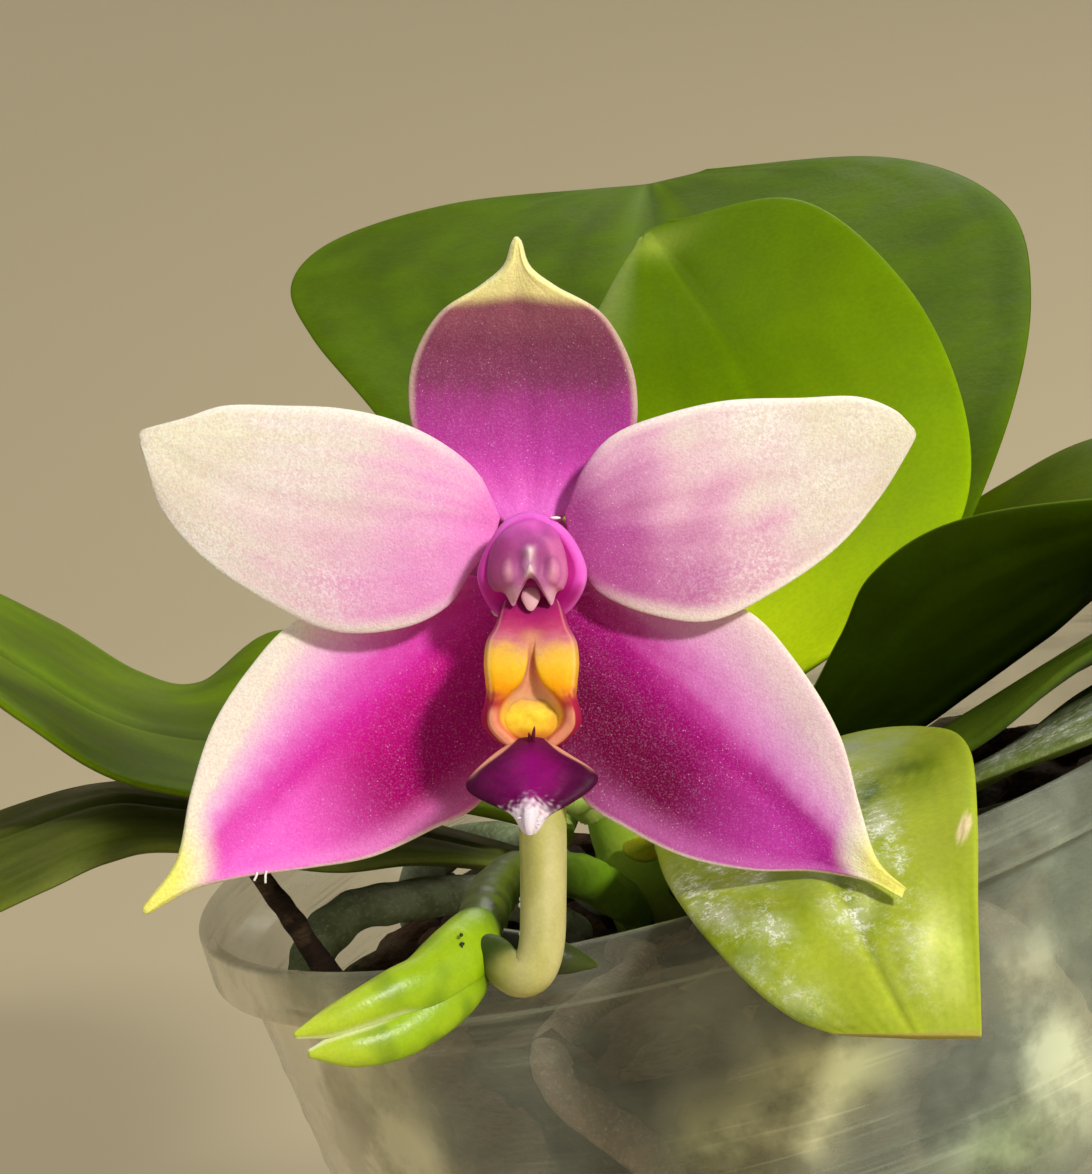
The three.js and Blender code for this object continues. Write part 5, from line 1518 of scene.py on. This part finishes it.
def make_pedicel():
    rings, share, turn = tube(PEDICEL_ROUTE, PEDICEL_RADIUS, 40, 130,
                              size=lambda s: 0.74 + 0.26 * rise(s, 0, 0.16) + 0.06 * np.sin(math.pi * s))
    ribs = 0.05 * np.cos(turn * 6 + share * 7) * rise(share, 0.2, 0.5)
    centre = rings.mean(axis=1, keepdims=True)
    rings = rings + unit(rings - centre) * ribs[..., None]
    colours = over(plain("c4bd7c", share), "b2ae60", rise(waves(31, rings, 5), -0.4, 1))
    # Olive, then dark green at its foot by the stalk: a green foot, painted darker as shade.
    colours = over(colours, "7c8038", 0.8 * (1 - rise(share, 0.08, 0.17)))
    colours = over(colours, "33450f", 1 - rise(share, 0.07, 0.12))
    colours = over(colours, "e8b7c8", 0.6 * rise(share, 0.72, 0.95))
    shape = Shape().add(in_flower(rings), colours)
    rings, share, _ = tube(NECK_ROUTE, 1, 40, 60, size=widths(*NECK_RADII))
    colours = over(plain("d45cb4", share), "e6c6bc", rise(share, 0.12, 0.22))
    shape.add(in_flower(rings), over(colours, "c9c08c", rise(share, 0.3, 0.8)))
    for place in FLUFF_PLACES:
        fluff = ball(place, [0.13, 0.2, 0.13], 10, 8)
        shape.add(in_flower(fluff), plain("f6f4e4", fluff[..., 0]))
    shape.build("pedicel_skin", wax_paint("pedicel_flesh", 0.45, 0.35), "pedicel_pale", "pedicel")


def make_spike():
    shape = Shape()
    rings, share, _ = tube(STALK_ROUTE, STALK_RADIUS, 28, 90, rough=0.05, seed=3,
                           size=lambda s: (0.7 + 0.3 * rise(s, 0, 0.1)) * (1 - 0.22 * rise(s, 0.93, 1)))
    # The stalk is coloured the dark green of shade, lighter near its foot: painted shade.
    colours = over(plain("3c5212", share), "6c9418", bell(share, 0.16, 0.12))
    shape.add(rings, colours)
    for number, bract in enumerate(BRACTS):
        rings, share, turn = tube(bract["route"], 1, 40, 90, slim=BRACT_DEPTH, face=TOWARD_VIEWER,
                                  size=widths(*bract["radii"]))
        slit = bract["slit"] * np.cos(turn)
        centre = rings.mean(axis=1, keepdims=True)
        crease = 0.1 * bell(slit, 1, 0.03) * rise(share, 0.3, 0.5)
        rings = rings + unit(rings - centre) * crease[..., None]
        mottle = rise(waves(33 + number, rings, 4), -0.2, 1)
        colours = over(plain("98ba0a", share), "7a9c08", mottle)
        colours = over(colours, "d0e040", 0.7 * rise(share, 0.55, 1))
        # Pale along the slit: pale tissue and a painted highlight.
        colours = over(colours, "eaf0b4", 0.85 * rise(slit, 0.66, 0.92) * rise(share, 0.42, 0.56))
        # Dark green where each bract leaves the stalk: painted shade.
        colours = over(colours, "4c6a14", 1 - rise(share, 0.04, 0.26))
        # The third, small bract behind the pedicel is near black-green: painted shade.
        if number == 2:
            colours = over(plain("2a320e", share), "3c4a14", rise(share, 0.5, 1))
        shape.add(rings, colours)
    draw = np.random.default_rng(29)
    for _ in range(9):
        x, z = draw.normal(0, 0.3, 2)
        place = SPECKS_PLACE + [x, 0.12 * z, 0.8 * z]
        speck = ball(place, [draw.uniform(0.09, 0.22), 0.25, 0.13], 10, 8)
        shape.add(speck, plain("1c2812", speck[..., 0]))
    for _ in range(5):
        x, z = draw.normal(0, 0.2, 2)
        fluff = ball(FLUFF_PLACE + [x, 0, z], [0.16, 0.16, 0.16], 10, 8)
        shape.add(fluff, plain("fbfbf6", fluff[..., 0]))
    shape.build("spike_skin", wax_paint("spike_flesh", 0.36, 0.3, 0.4), "spike_green", "flower_spike")


# The stage, the lights and the camera

def make_stage():
    """A pale floor that bends up into a backdrop, a hair below the pot's foot. Measures in metres."""
    reach, bend, back, height, below, steps = 4.0, 0.9, 1.6, 3.5, 0.0002, 24
    profile = [[-reach, 0], [back - bend, 0]]
    for i in range(1, steps + 1):
        turn = math.pi / 2 * i / steps
        profile.append([back - bend + bend * math.sin(turn), bend - bend * math.cos(turn)])
    profile.append([back, height])
    points, faces = [], []
    for y, z in profile:
        points += [(-reach, y, z - below), (reach, y, z - below)]
    for i in range(len(profile) - 1):
        faces.append((2 * i, 2 * i + 1, 2 * i + 3, 2 * i + 2))
    mesh = bpy.data.meshes.new("floor")
    mesh.from_pydata(points, [], faces)
    mesh.polygons.foreach_set("use_smooth", [True] * len(faces))
    material = bpy.data.materials.new("floor")
    material.use_nodes = True
    surface = material.node_tree.nodes["Principled BSDF"]
    surface.inputs["Base Color"].default_value = (*tint("cabb98"), 1)
    surface.inputs["Roughness"].default_value = 0.9
    mesh.materials.append(material)
    floor = bpy.data.objects.new("floor", mesh)
    bpy.context.scene.collection.objects.link(floor)


def lamp(name, place, aim, size, power, colour):
    """A square lamp; places and size in metres."""
    light = bpy.data.lights.new(name, "AREA")
    light.size = size
    light.energy = power
    light.color = colour
    thing = bpy.data.objects.new(name, light)
    thing.location = place
    thing.rotation_euler = (Vector(aim) - Vector(place)).to_track_quat("-Z", "Y").to_euler()
    bpy.context.scene.collection.objects.link(thing)


# For each lamp: where it stands, what it aims at, its size, its power in watts and its colour
PLANT_HEART = (0, -0.02, 0.09)
LAMPS = {
    "key": ((0.5, -0.7, 0.5), PLANT_HEART, 0.09, 7.9, (1, 0.98, 0.93)),
    "fill": ((-0.7, -0.6, 0.5), PLANT_HEART, 0.8, 0.8, (0.94, 0.97, 1)),
    "back": ((0.35, 0.75, 0.7), PLANT_HEART, 0.5, 2.2, (1, 0.98, 0.92)),
    "wash": ((-0.4, 0.45, 1.4), (-0.35, 1.3, 0.0), 0.8, 4.8, (1, 0.97, 0.9)),
}


def make_lights():
    for name, facts in LAMPS.items():
        lamp(name, *facts)
    world = bpy.data.worlds.new("studio")
    world.use_nodes = True
    world.node_tree.nodes["Background"].inputs["Color"].default_value = (0.92, 0.95, 1, 1)
    world.node_tree.nodes["Background"].inputs["Strength"].default_value = 0.26
    bpy.context.scene.world = world
    bpy.context.scene.view_settings.view_transform = "Standard"


def make_camera():
    ahead = Vector((0, math.cos(CAMERA_NOD), -math.sin(CAMERA_NOD)))
    level, upright = Vector((1, 0, 0)), Vector((0, math.sin(CAMERA_NOD), math.cos(CAMERA_NOD)))
    right = level * math.cos(CAMERA_ROLL) - upright * math.sin(CAMERA_ROLL)
    up = level * math.sin(CAMERA_ROLL) + upright * math.cos(CAMERA_ROLL)
    data = bpy.data.cameras.new("camera")
    data.lens = CAMERA_LENS
    data.clip_start = 0.01
    camera = bpy.data.objects.new("camera", data)
    turn = Matrix((right, up, -ahead)).transposed().to_4x4()
    camera.matrix_world = Matrix.Translation(CAMERA_PLACE) @ turn
    bpy.context.scene.collection.objects.link(camera)
    bpy.context.scene.camera = camera


for make in (make_pot, make_bark, make_roots, make_stub, make_stem, make_leaves, make_tepals, make_column,
             make_lip, make_pedicel, make_spike, make_stage, make_lights, make_camera):
    make()

bpy.context.view_layer.update()
